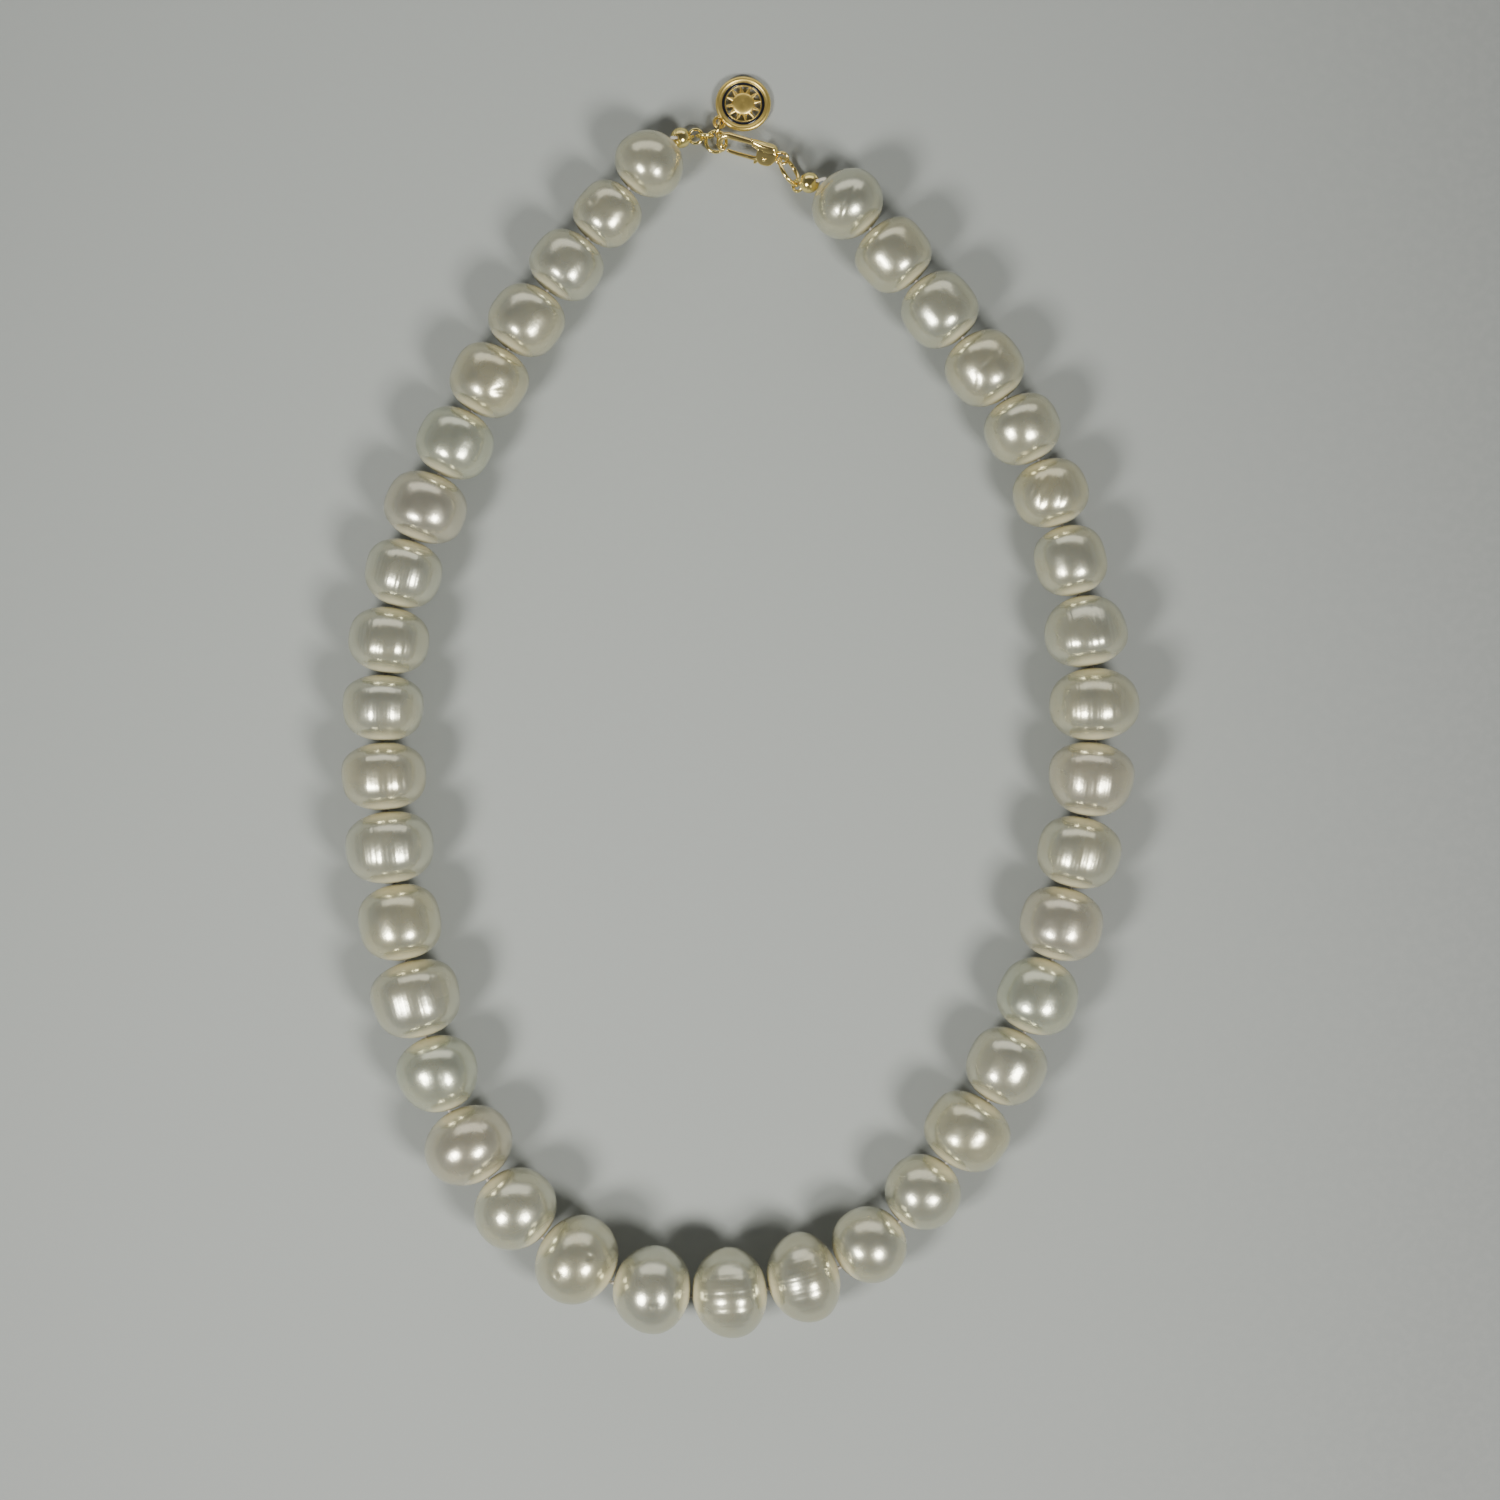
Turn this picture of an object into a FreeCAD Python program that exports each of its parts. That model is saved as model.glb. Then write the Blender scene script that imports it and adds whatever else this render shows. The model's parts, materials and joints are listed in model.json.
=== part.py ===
"""Pearl necklace: a strand of drilled pearls on one thread, lying closed on a table.

Every size is a cell of the Sizes spreadsheet, in millimetres.  The strand is laid out from its front pearl
outwards, pearl by pearl, and the bends of its two arms are shared out so that the ends meet at the clasp.
X runs to the wearer's left, Y from the front pearls to the clasp, Z up from the table.
"""
import FreeCAD
import Part
import Sketcher
import math
import os

from FreeCAD import Rotation, Vector

doc = FreeCAD.newDocument("PearlNecklace")

# ---------------------------------------------------------------- driving dimensions
SIZES = {
    # strand
    "PearlWidth": 11.3, "PearlLength": 10.0, "PearlGap": 0.26, "DrillHole": 0.95, "Thread": 0.45,
    "ThreadBendReach": 0.6,
    # thread covers, one at each end of the strand
    "TipBall": 2.9, "TipWall": 0.28, "TipHole": 0.75, "TipSlit": 0.12, "TipEye": 2.0, "TipWire": 0.44,
    "TipClearance": 0.16, "CrimpWidth": 1.3, "CrimpLength": 1.0, "CrimpHole": 0.5,
    # rings and links
    "LevelLink": 2.4, "UprightLink": 2.7, "LinkWire": 0.44, "EndRing": 3.4, "EndWire": 0.5, "CharmRing": 2.8,
    "CharmWire": 0.44, "ClaspRing": 5.0, "ClaspRingWire": 0.6, "RingSlit": 1.2, "RingSlack": 0.17,
    "LevelRingHeight": 0.9,
    # charm
    "CharmDisc": 7.8, "CharmRim": 0.8, "CharmPlate": 0.6, "CharmWindow": 4.9, "EnamelInner": 5.3,
    "EnamelOuter": 6.0, "EnamelDepth": 0.2, "SunWidth": 3.3, "SunDome": 0.9, "RayWidth": 0.36, "RayCount": 12,
    "LugEye": 2.0, "LugWire": 0.5, "LugOffset": 0.35,
    # clasp
    "ClaspLength": 10.6, "ClaspWidth": 3.3, "ClaspRail": 0.9, "ClaspBlock": 1.5, "ClaspEye": 2.2,
    "ClaspEyeHole": 1.4, "ClaspEyePlate": 0.6, "LeverPlate": 0.62, "LeverSlot": 0.78, "PivotPin": 0.5,
    "PivotPlay": 0.04, "SpringWire": 0.18, "HookClearance": 0.15, "HookPastRing": 0.55,
    "LeverGap": 0.08,
}
CLASP_ROLL = 38.0          # degrees that the clasp leans on its edge
CLASP_RING_LEAN = 25.0     # degrees that the clasp's ring leans from upright
MAX_DROOP = 65.0           # steepest that a thread cover hangs from its pearl, degrees

# Each pearl's width across the strand and length along it, over the nominal sizes, from the left end to the right
PEARLS = [
    (-1.4, -0.9), (-2.1, -1.2), (-1.1, -1.0), (-1.0, -0.4), (-0.4, -0.2), (-0.7, -0.4), (0.1, -0.4), (-0.5, -0.6),
    (0.0, -0.8), (0.1, -0.8), (0.4, -0.6), (0.8, 0.0), (0.2, 0.6), (1.1, 0.7), (0.1, 0.6), (1.3, 0.6), (0.7, 0.8),
    (1.6, 1.0), (1.1, 0.8), (1.4, 0.4), (1.3, 0.0), (-0.4, 0.1), (-0.5, 0.2), (0.7, 0.2), (-0.2, 0.5), (-0.1, 0.6),
    (0.3, 0.1), (0.3, -0.1), (0.7, 0.3), (1.1, 0.1), (0.2, -0.1), (-1.2, -0.2), (-0.7, -0.6), (-0.5, -0.5),
    (-0.5, 0.1), (-0.8, 0.0), (-0.7, -0.6), (-0.5, -0.7),
]
FRONT = 20                 # the front pearl, which the layout starts from
FRONT_HEADING = 5.5        # degrees that its drill hole is turned from X
RIGHT_BENDS = [11, 21, 14, 5, 5, 8, 6, 2, 6, 9, 8, 3, 6, 9, 7, 4, 2, 1]
LEFT_BENDS = [15, 22, 13, 14, 11, 3, 5, 3, 3, 5, 6, 7, 6, 5, 3, 4, 3, 2, 1]

# Directions on the table of the pieces between the strand's ends, from left to right, degrees from X
HEADINGS = {"left_tip": 16, "link_near_tip": 12, "link_near_ring": -2, "end_ring": -24, "clasp": -15.5,
            "clasp_ring": -60, "right_tip": 8}
CHARM_HEADINGS = {"charm_ring": 80, "charm": 38}


def make_sheet():
    """The spreadsheet, with one named cell for each size."""
    table = doc.addObject("Spreadsheet::Sheet", "Sizes")
    named = dict(SIZES)
    for number, (width_over, length_over) in enumerate(PEARLS, 1):
        named["WidthOver%02d" % number] = width_over
        named["LengthOver%02d" % number] = length_over
    for row, (name, value) in enumerate(named.items(), 1):
        table.set("A%d" % row, name)
        table.set("B%d" % row, str(value))
        table.setAlias("B%d" % row, name)
    doc.recompute()
    return table


sheet = make_sheet()


def size(name):
    """A size as it stands in the spreadsheet."""
    return float(sheet.get(name))


def bind(obj, **expressions):
    """Bind an object's properties to expressions on the spreadsheet's cells."""
    for prop, expression in expressions.items():
        obj.setExpression(prop, expression)
    return obj


def primitive(kind, name, **expressions):
    return bind(doc.addObject("Part::" + kind, name), **expressions)


def cut(name, base, tool):
    result = doc.addObject("Part::Cut", name)
    result.Base = base
    result.Tool = tool
    return result


def fuse(name, shapes):
    result = doc.addObject("Part::MultiFuse", name)
    result.Shapes = shapes
    result.Refine = False
    return result


def flat(angle_deg, length=1.0):
    """A horizontal vector of that length, at that angle from X."""
    return Vector(length * math.cos(math.radians(angle_deg)), length * math.sin(math.radians(angle_deg)), 0)


# ---------------------------------------------------------------- layout
def pearl_width(number):
    return size("PearlWidth") + size("WidthOver%02d" % number)


def pearl_length(number):
    return size("PearlLength") + size("LengthOver%02d" % number)


def ring_reach(outer, wire):
    """Radius of a ring's hole, which is how far another wire can pull away from its centre."""
    return outer / 2 - wire


def link_step(upright, upright_wire, level, level_wire, drop):
    """Distance between the centres of an upright ring and a level ring that hang on each other.

    drop is the height between the two centres.  The level ring's wire has to stay in the upright ring's hole, and
    the upright ring's wire, where it crosses the level ring, in the level ring's hole.  A little slack is left.
    """
    upright_mean = (upright - upright_wire) / 2
    level_mean = (level - level_wire) / 2
    room = ring_reach(upright, upright_wire) - level_wire / 2
    by_upright = level_mean + math.sqrt(room ** 2 - drop ** 2)
    crossing = math.sqrt(upright_mean ** 2 - drop ** 2)
    by_level = crossing + ring_reach(level, level_wire) - upright_wire / 2 * upright_mean / crossing
    return min(by_upright, by_level) - size("RingSlack")


def tip_reach(number):
    """Distance from the pearl's drill hole to the centre of the thread cover's ball, so that the ball clears it.

    Near the hole the pearl is a ball of radius w*w/l (half width w, half length l), and the cover hangs from the
    mouth of the hole at up to MAX_DROOP degrees.
    """
    curve = (pearl_width(number) / 2) ** 2 / (pearl_length(number) / 2)
    apart = curve + size("TipBall") / 2 + size("TipClearance")
    forward = curve * math.cos(math.radians(MAX_DROOP))
    return math.sqrt(forward ** 2 + apart ** 2 - curve ** 2) - forward


def tip_eye_offset():
    """From the centre of a thread cover's ball to the centre of its eye."""
    return size("TipBall") / 2 + size("TipEye") / 2 - size("TipWire") * 0.7


def tip_hang(number, hinge_height, eye_height):
    """How a thread cover hangs: (reach to the ball, droop in degrees, horizontal distance to the eye)."""
    drop = hinge_height - eye_height
    reach = max(tip_reach(number), drop / math.sin(math.radians(MAX_DROOP)) - tip_eye_offset())
    droop = math.degrees(math.asin(drop / (reach + tip_eye_offset())))
    return reach, droop, (reach + tip_eye_offset()) * math.cos(math.radians(droop))


def bend_room(number, bend):
    """Half the gap that a pearl needs at a hinge, so that it just clears its neighbour at that bend.

    Seen from above the pearl is an ellipse; tilted by half the bend it reaches further past its end.
    """
    tilt = math.radians(bend / 2)
    across, along = pearl_width(number) / 2, pearl_length(number) / 2
    reach = math.hypot(along * math.cos(tilt), across * math.sin(tilt))
    return size("PearlGap") / 2 + reach / math.cos(tilt) - along


def arm(numbers, bends, start, heading, side, factor):
    """Lay one arm out pearl by pearl, front end first: the hinge points, and the middle of each pearl."""
    points = [start]
    middles = []
    turns = [bend * factor for bend in bends] + [0]
    for number, turn, next_turn in zip(numbers, turns, turns[1:]):
        heading = heading + side * turn
        near = bend_room(number, turn) + pearl_length(number) / 2
        far = bend_room(number, next_turn) + pearl_length(number) / 2
        middles.append(points[-1] + flat(heading, near))
        points.append(points[-1] + flat(heading, near + far))
    return points, middles


LEFT = list(range(FRONT - 1, 0, -1))
RIGHT = list(range(FRONT + 1, len(PEARLS) + 1))

# Heights of the drill holes: at each hinge the mean of the two pearls' radii, all lifted until none sinks
radii = [pearl_width(number) / 2 for number in range(1, len(PEARLS) + 1)]
heights = [radii[0]] + [(before + after) / 2 for before, after in zip(radii, radii[1:])] + [radii[-1]]
lift = max(radius - (before + after) / 2 for radius, before, after in zip(radii, heights, heights[1:]))

low_rail = (size("ClaspWidth") - size("ClaspRail")) / 2 * math.sin(math.radians(CLASP_ROLL)) + size("ClaspRail") / 2
clasp_height = max(
    (size("ClaspRing") - size("ClaspRingWire")) / 2 * math.cos(math.radians(CLASP_RING_LEAN))
    + size("ClaspRingWire") / 2,
    size("LevelRingHeight") + size("EndWire") / 2 + size("HookClearance") + low_rail)

left_reach, left_droop, left_span = tip_hang(1, heights[0] + lift, size("LevelRingHeight"))
right_reach, right_droop, right_span = tip_hang(len(PEARLS), heights[-1] + lift, clasp_height)

upright_link = size("UprightLink") / 2 + 0.03
upright_charm_ring = size("CharmRing") / 2 + 0.03
eye_to_link = link_step(size("TipEye"), size("TipWire"), size("LevelLink"), size("LinkWire"), 0)
link_to_link = link_step(size("UprightLink"), size("LinkWire"), size("LevelLink"), size("LinkWire"),
                         upright_link - size("LevelRingHeight"))
link_to_ring = link_step(size("UprightLink"), size("LinkWire"), size("EndRing"), size("EndWire"),
                         upright_link - size("LevelRingHeight"))
ring_to_charm_ring = link_step(size("CharmRing"), size("CharmWire"), size("EndRing"), size("EndWire"),
                               upright_charm_ring - size("LevelRingHeight"))
charm_ring_to_lug = link_step(size("CharmRing"), size("CharmWire"), size("LugEye"), size("LugWire"),
                              upright_charm_ring - size("LevelRingHeight"))
eye_centre = size("ClaspEye") / 2
clasp_ring_mean = (size("ClaspRing") - size("ClaspRingWire")) / 2
clasp_ring_to_tip = link_step(size("ClaspRing"), size("ClaspRingWire"), size("TipEye"), size("TipWire"), 0)

# From the left end of the strand to the right end, piece by piece
STEPS = [
    ("left_tip", left_span), ("link_near_tip", eye_to_link), ("link_near_ring", link_to_link),
    ("end_ring", link_to_ring),
    ("clasp", size("ClaspLength") - size("ClaspRail") / 2 - eye_centre + size("HookPastRing")),
    ("clasp_ring", clasp_ring_mean + clasp_ring_to_tip), ("right_tip", right_span),
]
span = Vector(0, 0, 0)
for piece, length in STEPS:
    span = span + flat(HEADINGS[piece], length)


def strand(left_factor, right_factor):
    """Both arms, with their bends multiplied by the two factors.  The front pearl's middle is at 0, 0."""
    half = pearl_length(FRONT) / 2
    left_start = flat(FRONT_HEADING + 180, half + bend_room(FRONT, LEFT_BENDS[0] * left_factor))
    right_start = flat(FRONT_HEADING, half + bend_room(FRONT, RIGHT_BENDS[0] * right_factor))
    left = arm(LEFT, LEFT_BENDS, left_start, FRONT_HEADING + 180, -1, left_factor)
    right = arm(RIGHT, RIGHT_BENDS, right_start, FRONT_HEADING, 1, right_factor)
    return left, right


def miss(factors):
    """How far the strand's ends are from the distance that the clasp end takes up."""
    left, right = strand(*factors)
    gap = right[0][-1] - left[0][-1] - span
    return gap.x, gap.y


def close_strand():
    """Newton's method on the two bend factors, until the ends of the strand meet the clasp end."""
    factors = [1.0, 1.0]
    nudge = 1e-5
    for _ in range(20):
        gx, gy = miss(factors)
        lx, ly = miss([factors[0] + nudge, factors[1]])
        rx, ry = miss([factors[0], factors[1] + nudge])
        a, b, c, d = (lx - gx) / nudge, (rx - gx) / nudge, (ly - gy) / nudge, (ry - gy) / nudge
        det = a * d - b * c
        factors[0] -= (d * gx - b * gy) / det
        factors[1] -= (a * gy - c * gx) / det
    return factors


left_factor, right_factor = close_strand()
(left_points, left_middles), (right_points, right_middles) = strand(left_factor, right_factor)

# Hinge points and pearls' middles from the left end to the right: hinges[k] lies between pearl k and pearl k+1
hinges = list(reversed(left_points)) + right_points
middles = list(reversed(left_middles)) + [Vector(0, 0, 0)] + right_middles
hinges = [Vector(point.x, point.y, height + lift) for point, height in zip(hinges, heights)]

# Places of the pieces between the ends, from the left end on
places = {}
here = Vector(hinges[0].x, hinges[0].y, 0)
for piece, length in STEPS[:4]:
    here = here + flat(HEADINGS[piece], length)
    places[piece] = here
clasp_eye = here + flat(HEADINGS["clasp"], STEPS[4][1])
clasp_ring_centre = clasp_eye + flat(HEADINGS["clasp_ring"], clasp_ring_mean)
charm_ring_centre = places["end_ring"] + flat(CHARM_HEADINGS["charm_ring"], ring_to_charm_ring)
lug_centre = charm_ring_centre + flat(CHARM_HEADINGS["charm_ring"], charm_ring_to_lug)
lug_from_disc = size("CharmDisc") / 2 + size("LugOffset")
lug_centre.z = size("LevelRingHeight")
# The charm leans from its eye, which the ring holds up, to its far edge, which lies on the table
charm_tilt = math.asin((size("LevelRingHeight") - size("CharmRim") / 2) / (size("CharmDisc") / 2 + lug_from_disc))
charm_turn = Rotation(CHARM_HEADINGS["charm"], math.degrees(charm_tilt), 0)
charm_centre = lug_centre + charm_turn.multVec(Vector(lug_from_disc, 0, 0))

MADE = []


def keep(obj, node, base=None, yaw=0.0, pitch=0.0, roll=0.0):
    """Name a finished sub-part and put it in its place: turned about X, then Y, then Z, and moved to base."""
    obj.Label = node
    if base is not None:
        obj.Placement = FreeCAD.Placement(base, Rotation(yaw, pitch, roll))
    MADE.append(obj)
    return obj


# ---------------------------------------------------------------- pearls and thread
def make_pearl(number):
    """A drilled pearl: an ellipsoid of revolution about its drill hole, which is its own Z axis."""
    tag = "%02d" % number
    body = primitive("Ellipsoid", "Nacre" + tag,
                     Radius1="(Sizes.PearlLength + Sizes.LengthOver%s) / 2" % tag,
                     Radius2="(Sizes.PearlWidth + Sizes.WidthOver%s) / 2" % tag,
                     Radius3="(Sizes.PearlWidth + Sizes.WidthOver%s) / 2" % tag)
    body.Angle1 = -90
    body.Angle2 = 90
    drill = primitive("Cylinder", "Drill" + tag, Radius="Sizes.DrillHole / 2",
                      Height="(Sizes.PearlLength + Sizes.LengthOver%s) * 1.2" % tag)
    drill.setExpression("Placement.Base.z", "-(Sizes.PearlLength + Sizes.LengthOver%s) * 0.6" % tag)
    pearl = cut("Pearl" + tag, body, drill)
    start, end = hinges[number - 1], hinges[number]
    pearl.Label = "pearl_" + tag
    middle = middles[number - 1]
    share = math.hypot(middle.x - start.x, middle.y - start.y) / math.hypot(end.x - start.x, end.y - start.y)
    pearl.Placement = FreeCAD.Placement(start + (end - start) * share, Rotation(Vector(0, 0, 1), end - start))
    MADE.append(pearl)


for number in range(1, len(PEARLS) + 1):
    make_pearl(number)


def tip_axis(heading, droop):
    """Direction in which a thread cover hangs from the mouth of its pearl's drill hole."""
    level = flat(heading, math.cos(math.radians(droop)))
    return Vector(level.x, level.y, -math.sin(math.radians(droop)))


left_axis = tip_axis(HEADINGS["left_tip"], left_droop)
right_axis = tip_axis(HEADINGS["right_tip"] + 180, right_droop)


def make_thread():
    """One thread from crimp to crimp: straight runs through the pearls, joined by arcs tangent to both runs."""
    route = [hinges[0] + left_axis * left_reach] + hinges + [hinges[-1] + right_axis * right_reach]
    edges = []
    start = route[0]
    for before, corner, after in zip(route, route[1:], route[2:]):
        back = (before - corner).normalize()
        ahead = (after - corner).normalize()
        turn = math.pi - back.getAngle(ahead)
        reach = size("ThreadBendReach")
        radius = reach / math.tan(turn / 2)
        middle_dir = (back + ahead).normalize()
        middle = corner + middle_dir * (radius / math.cos(turn / 2) - radius)
        edges.append(Part.LineSegment(start, corner + back * reach).toShape())
        edges.append(Part.Arc(corner + back * reach, middle, corner + ahead * reach).toShape())
        start = corner + ahead * reach
    edges.append(Part.LineSegment(start, route[-1]).toShape())
    path = Part.Wire(edges)
    section = Part.Wire([Part.Circle(route[0], route[1] - route[0], size("Thread") / 2).toShape()])
    thread = doc.addObject("Part::Feature", "Thread")
    thread.Shape = path.makePipeShell([section], True, False)
    expected = path.Length * math.pi * size("Thread") ** 2 / 4
    print("thread: length %.1f mm, volume %.3f, expected %.3f" % (path.Length, thread.Shape.Volume, expected))
    keep(thread, "thread")


make_thread()


# ---------------------------------------------------------------- thread covers and crimps
def make_tip(side, hinge, heading, droop, reach, eye_roll):
    """A clamshell thread cover: a hollow ball with a hole for the thread, a slit where it shuts, and an eye.

    Its own X axis runs from the mouth of the pearl's drill hole, at the origin, through the ball to the eye, which
    lies across the wire of the ring that it hangs on: eye_roll is 90 where that ring is level, 0 where it stands.
    """
    name = side.capitalize() + "Tip"
    shell = primitive("Sphere", name + "Ball", Radius="Sizes.TipBall / 2")
    hollow = primitive("Sphere", name + "Hollow", Radius="Sizes.TipBall / 2 - Sizes.TipWall")
    hole = primitive("Cylinder", name + "Hole", Radius="Sizes.TipHole / 2", Height="Sizes.TipBall / 2")
    slit = primitive("Box", name + "Slit", Length="Sizes.TipBall * 0.75", Width="Sizes.TipBall",
                     Height="Sizes.TipSlit")
    eye = primitive("Torus", name + "Eye", Radius1="(Sizes.TipEye - Sizes.TipWire) / 2", Radius2="Sizes.TipWire / 2")
    for ball in (shell, hollow):
        ball.Placement.Base = Vector(reach, 0, 0)
    hole.Placement = FreeCAD.Placement(Vector(reach, 0, 0), Rotation(0, -90, 0))
    slit.Placement.Base = Vector(reach - size("TipBall") * 0.55, -size("TipBall") / 2, -size("TipSlit") / 2)
    eye.Placement = FreeCAD.Placement(Vector(reach + tip_eye_offset(), 0, 0), Rotation(0, 0, eye_roll))
    opened = cut(name + "Drilled", cut(name + "Shell", shell, hollow), hole)
    tip = fuse(name, [cut(name + "Slitted", opened, slit), eye])
    keep(tip, side + "_tip", hinge, yaw=heading, pitch=droop)

    crimp_outer = primitive("Cylinder", name + "CrimpBody", Radius="Sizes.CrimpWidth / 2", Height="Sizes.CrimpLength")
    crimp_hole = primitive("Cylinder", name + "CrimpHole", Radius="Sizes.CrimpHole / 2", Height="Sizes.CrimpLength")
    crimp = cut(name + "Crimp", crimp_outer, crimp_hole)
    axis = Rotation(heading, droop, 0).multVec(Vector(1, 0, 0))
    inside = size("TipBall") / 2 - size("TipWall")
    seat = reach - math.sqrt(inside ** 2 - (size("CrimpWidth") / 2) ** 2) + 0.02
    crimp.Label = side + "_crimp"
    crimp.Placement = FreeCAD.Placement(hinge + axis * seat, Rotation(Vector(0, 0, 1), axis))
    MADE.append(crimp)


make_tip("left", hinges[0], HEADINGS["left_tip"], left_droop, left_reach, 90)
make_tip("right", hinges[-1], HEADINGS["right_tip"] + 180, right_droop, right_reach, 0)


# ---------------------------------------------------------------- rings and links
def make_ring(node, outer, wire, centre, height, heading, roll, slit=0.0):
    """A round wire ring; roll 0 lies flat, 90 stands on edge along its heading.  A jump ring has a slit."""
    ring = primitive("Torus", "Ring_" + node, Radius1="(Sizes.%s - Sizes.%s) / 2" % (outer, wire),
                     Radius2="Sizes.%s / 2" % wire)
    ring.Angle3 = 360 - slit
    keep(ring, node, Vector(centre.x, centre.y, height), yaw=heading, roll=roll)


make_ring("link_near_tip", "LevelLink", "LinkWire", places["link_near_tip"], size("LevelRingHeight"),
          HEADINGS["link_near_tip"], 0)
make_ring("link_near_ring", "UprightLink", "LinkWire", places["link_near_ring"], upright_link,
          HEADINGS["link_near_ring"], 90)
make_ring("end_ring", "EndRing", "EndWire", places["end_ring"], size("LevelRingHeight"), HEADINGS["end_ring"], 0)
make_ring("charm_ring", "CharmRing", "CharmWire", charm_ring_centre, upright_charm_ring,
          CHARM_HEADINGS["charm_ring"], 90, size("RingSlit"))
make_ring("clasp_ring", "ClaspRing", "ClaspRingWire", clasp_ring_centre, clasp_height,
          HEADINGS["clasp_ring"] + 180, 90 - CLASP_RING_LEAN, size("RingSlit"))


# ---------------------------------------------------------------- sketch helpers
def new_body(name):
    return doc.addObject("PartDesign::Body", name)


def new_sketch(body, name, role="XY_Plane", offset=None):
    """A sketch on one of its body's own origin planes, moved by an attachment offset."""
    sketch = body.newObject("Sketcher::SketchObject", name)
    plane = [feature for feature in body.Origin.OriginFeatures if feature.Role == role][0]
    sketch.AttachmentSupport = [(plane, "")]
    sketch.MapMode = "FlatFace"
    if offset is not None:
        sketch.AttachmentOffset = FreeCAD.Placement(offset, Rotation())
    return sketch


def circle(sketch, centre, radius_expression, name):
    """A circle held at its centre, with its radius bound to the spreadsheet."""
    index = sketch.addGeometry(Part.Circle(Vector(*centre, 0), Vector(0, 0, 1), 1.0), False)
    sketch.addConstraint(Sketcher.Constraint("DistanceX", -1, 1, index, 3, centre[0]))
    sketch.addConstraint(Sketcher.Constraint("DistanceY", -1, 1, index, 3, centre[1]))
    sketch.addConstraint(Sketcher.Constraint("Radius", index, 1.0))
    sketch.renameConstraint(sketch.ConstraintCount - 1, name)
    sketch.setExpression("Constraints." + name, radius_expression)


def outline(sketch, points):
    """A closed outline of straight edges through the points."""
    for start, end in zip(points, points[1:] + points[:1]):
        sketch.addGeometry(Part.LineSegment(Vector(*start, 0), Vector(*end, 0)), False)


def pad(body, sketch, name, length_expression):
    feature = body.newObject("PartDesign::Pad", name)
    feature.Profile = sketch
    feature.Midplane = True
    feature.setExpression("Length", length_expression)
    return feature


def pocket(body, sketch, name, length_expression):
    feature = body.newObject("PartDesign::Pocket", name)
    feature.Profile = sketch
    feature.Midplane = True
    feature.setExpression("Length", length_expression)
    return feature


# ---------------------------------------------------------------- charm
def make_charm():
    """A round frame with a raised rim, an enamelled band and an openwork sun, hung by a lug on its edge."""
    top = size("CharmPlate") / 2
    bead = size("CharmRim") / 2
    rim_radius = size("CharmDisc") / 2 - bead
    bead_start = rim_radius - math.sqrt(bead ** 2 - top ** 2)
    body = new_body("CharmFrame")

    # The section of the band from the window out to the round rim, with the trough for the enamel in its top
    band = new_sketch(body, "BandSection", "XZ_Plane")
    corners = [(bead_start, top), (size("EnamelOuter") / 2, top),
               (size("EnamelOuter") / 2, top - size("EnamelDepth")),
               (size("EnamelInner") / 2, top - size("EnamelDepth")), (size("EnamelInner") / 2, top),
               (size("CharmWindow") / 2, top), (size("CharmWindow") / 2, -top), (bead_start, -top)]
    for start, end in zip(corners, corners[1:]):
        band.addGeometry(Part.LineSegment(Vector(*start, 0), Vector(*end, 0)), False)
    band.addGeometry(Part.Arc(Vector(bead_start, -top, 0), Vector(rim_radius + bead, 0, 0),
                              Vector(bead_start, top, 0)), False)
    ring = body.newObject("PartDesign::Revolution", "Band")
    ring.Profile = band
    ring.ReferenceAxis = (band, ["V_Axis"])
    ring.Angle = 360

    half = size("RayWidth") / 2
    inner, outer = size("SunWidth") / 2 - 0.3, size("CharmWindow") / 2 + 0.1
    ray = new_sketch(body, "RaySketch")
    outline(ray, [(inner, -half), (outer, -half), (outer, half), (inner, half)])
    pad(body, ray, "Ray", "Sizes.CharmPlate * 0.7")
    doc.recompute()
    rays = body.newObject("PartDesign::PolarPattern", "Rays")
    rays.Originals = [doc.getObject("Ray")]
    rays.Axis = (ray, ["N_Axis"])
    rays.Angle = 360
    rays.setExpression("Occurrences", "Sizes.RayCount")
    body.Tip = rays

    sun = new_sketch(body, "SunSection", "XZ_Plane")
    radius, rise = size("SunWidth") / 2, size("SunDome") / 2
    outline(sun, [(0, -rise), (radius * 0.6, -rise * 0.9), (radius, -rise * 0.6), (radius, rise * 0.6),
                  (radius * 0.6, rise * 0.9), (0, rise)])
    dome = body.newObject("PartDesign::Revolution", "Sun")
    dome.Profile = sun
    dome.ReferenceAxis = (sun, ["V_Axis"])
    dome.Angle = 360

    lug = body.newObject("PartDesign::AdditiveTorus", "Lug")
    bind(lug, Radius1="(Sizes.LugEye - Sizes.LugWire) / 2", Radius2="Sizes.LugWire / 2")
    lug.AttachmentOffset = FreeCAD.Placement(Vector(-lug_from_disc, 0, 0), Rotation())
    lug.AttachmentSupport = [(plane, "") for plane in body.Origin.OriginFeatures if plane.Role == "XY_Plane"]
    lug.MapMode = "FlatFace"
    keep(body, "charm_frame", charm_centre, yaw=CHARM_HEADINGS["charm"], pitch=math.degrees(charm_tilt))

    fit = 0.01
    filled = primitive("Cylinder", "EnamelBody", Radius="Sizes.EnamelOuter / 2 - %g" % fit,
                       Height="Sizes.EnamelDepth - 0.04")
    core = primitive("Cylinder", "EnamelCore", Radius="Sizes.EnamelInner / 2 + %g" % fit, Height="Sizes.EnamelDepth")
    enamel = cut("Enamel", filled, core)
    floor = charm_centre + charm_turn.multVec(Vector(0, 0, top - size("EnamelDepth")))
    keep(enamel, "charm_enamel", floor, yaw=CHARM_HEADINGS["charm"], pitch=math.degrees(charm_tilt))


make_charm()

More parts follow.
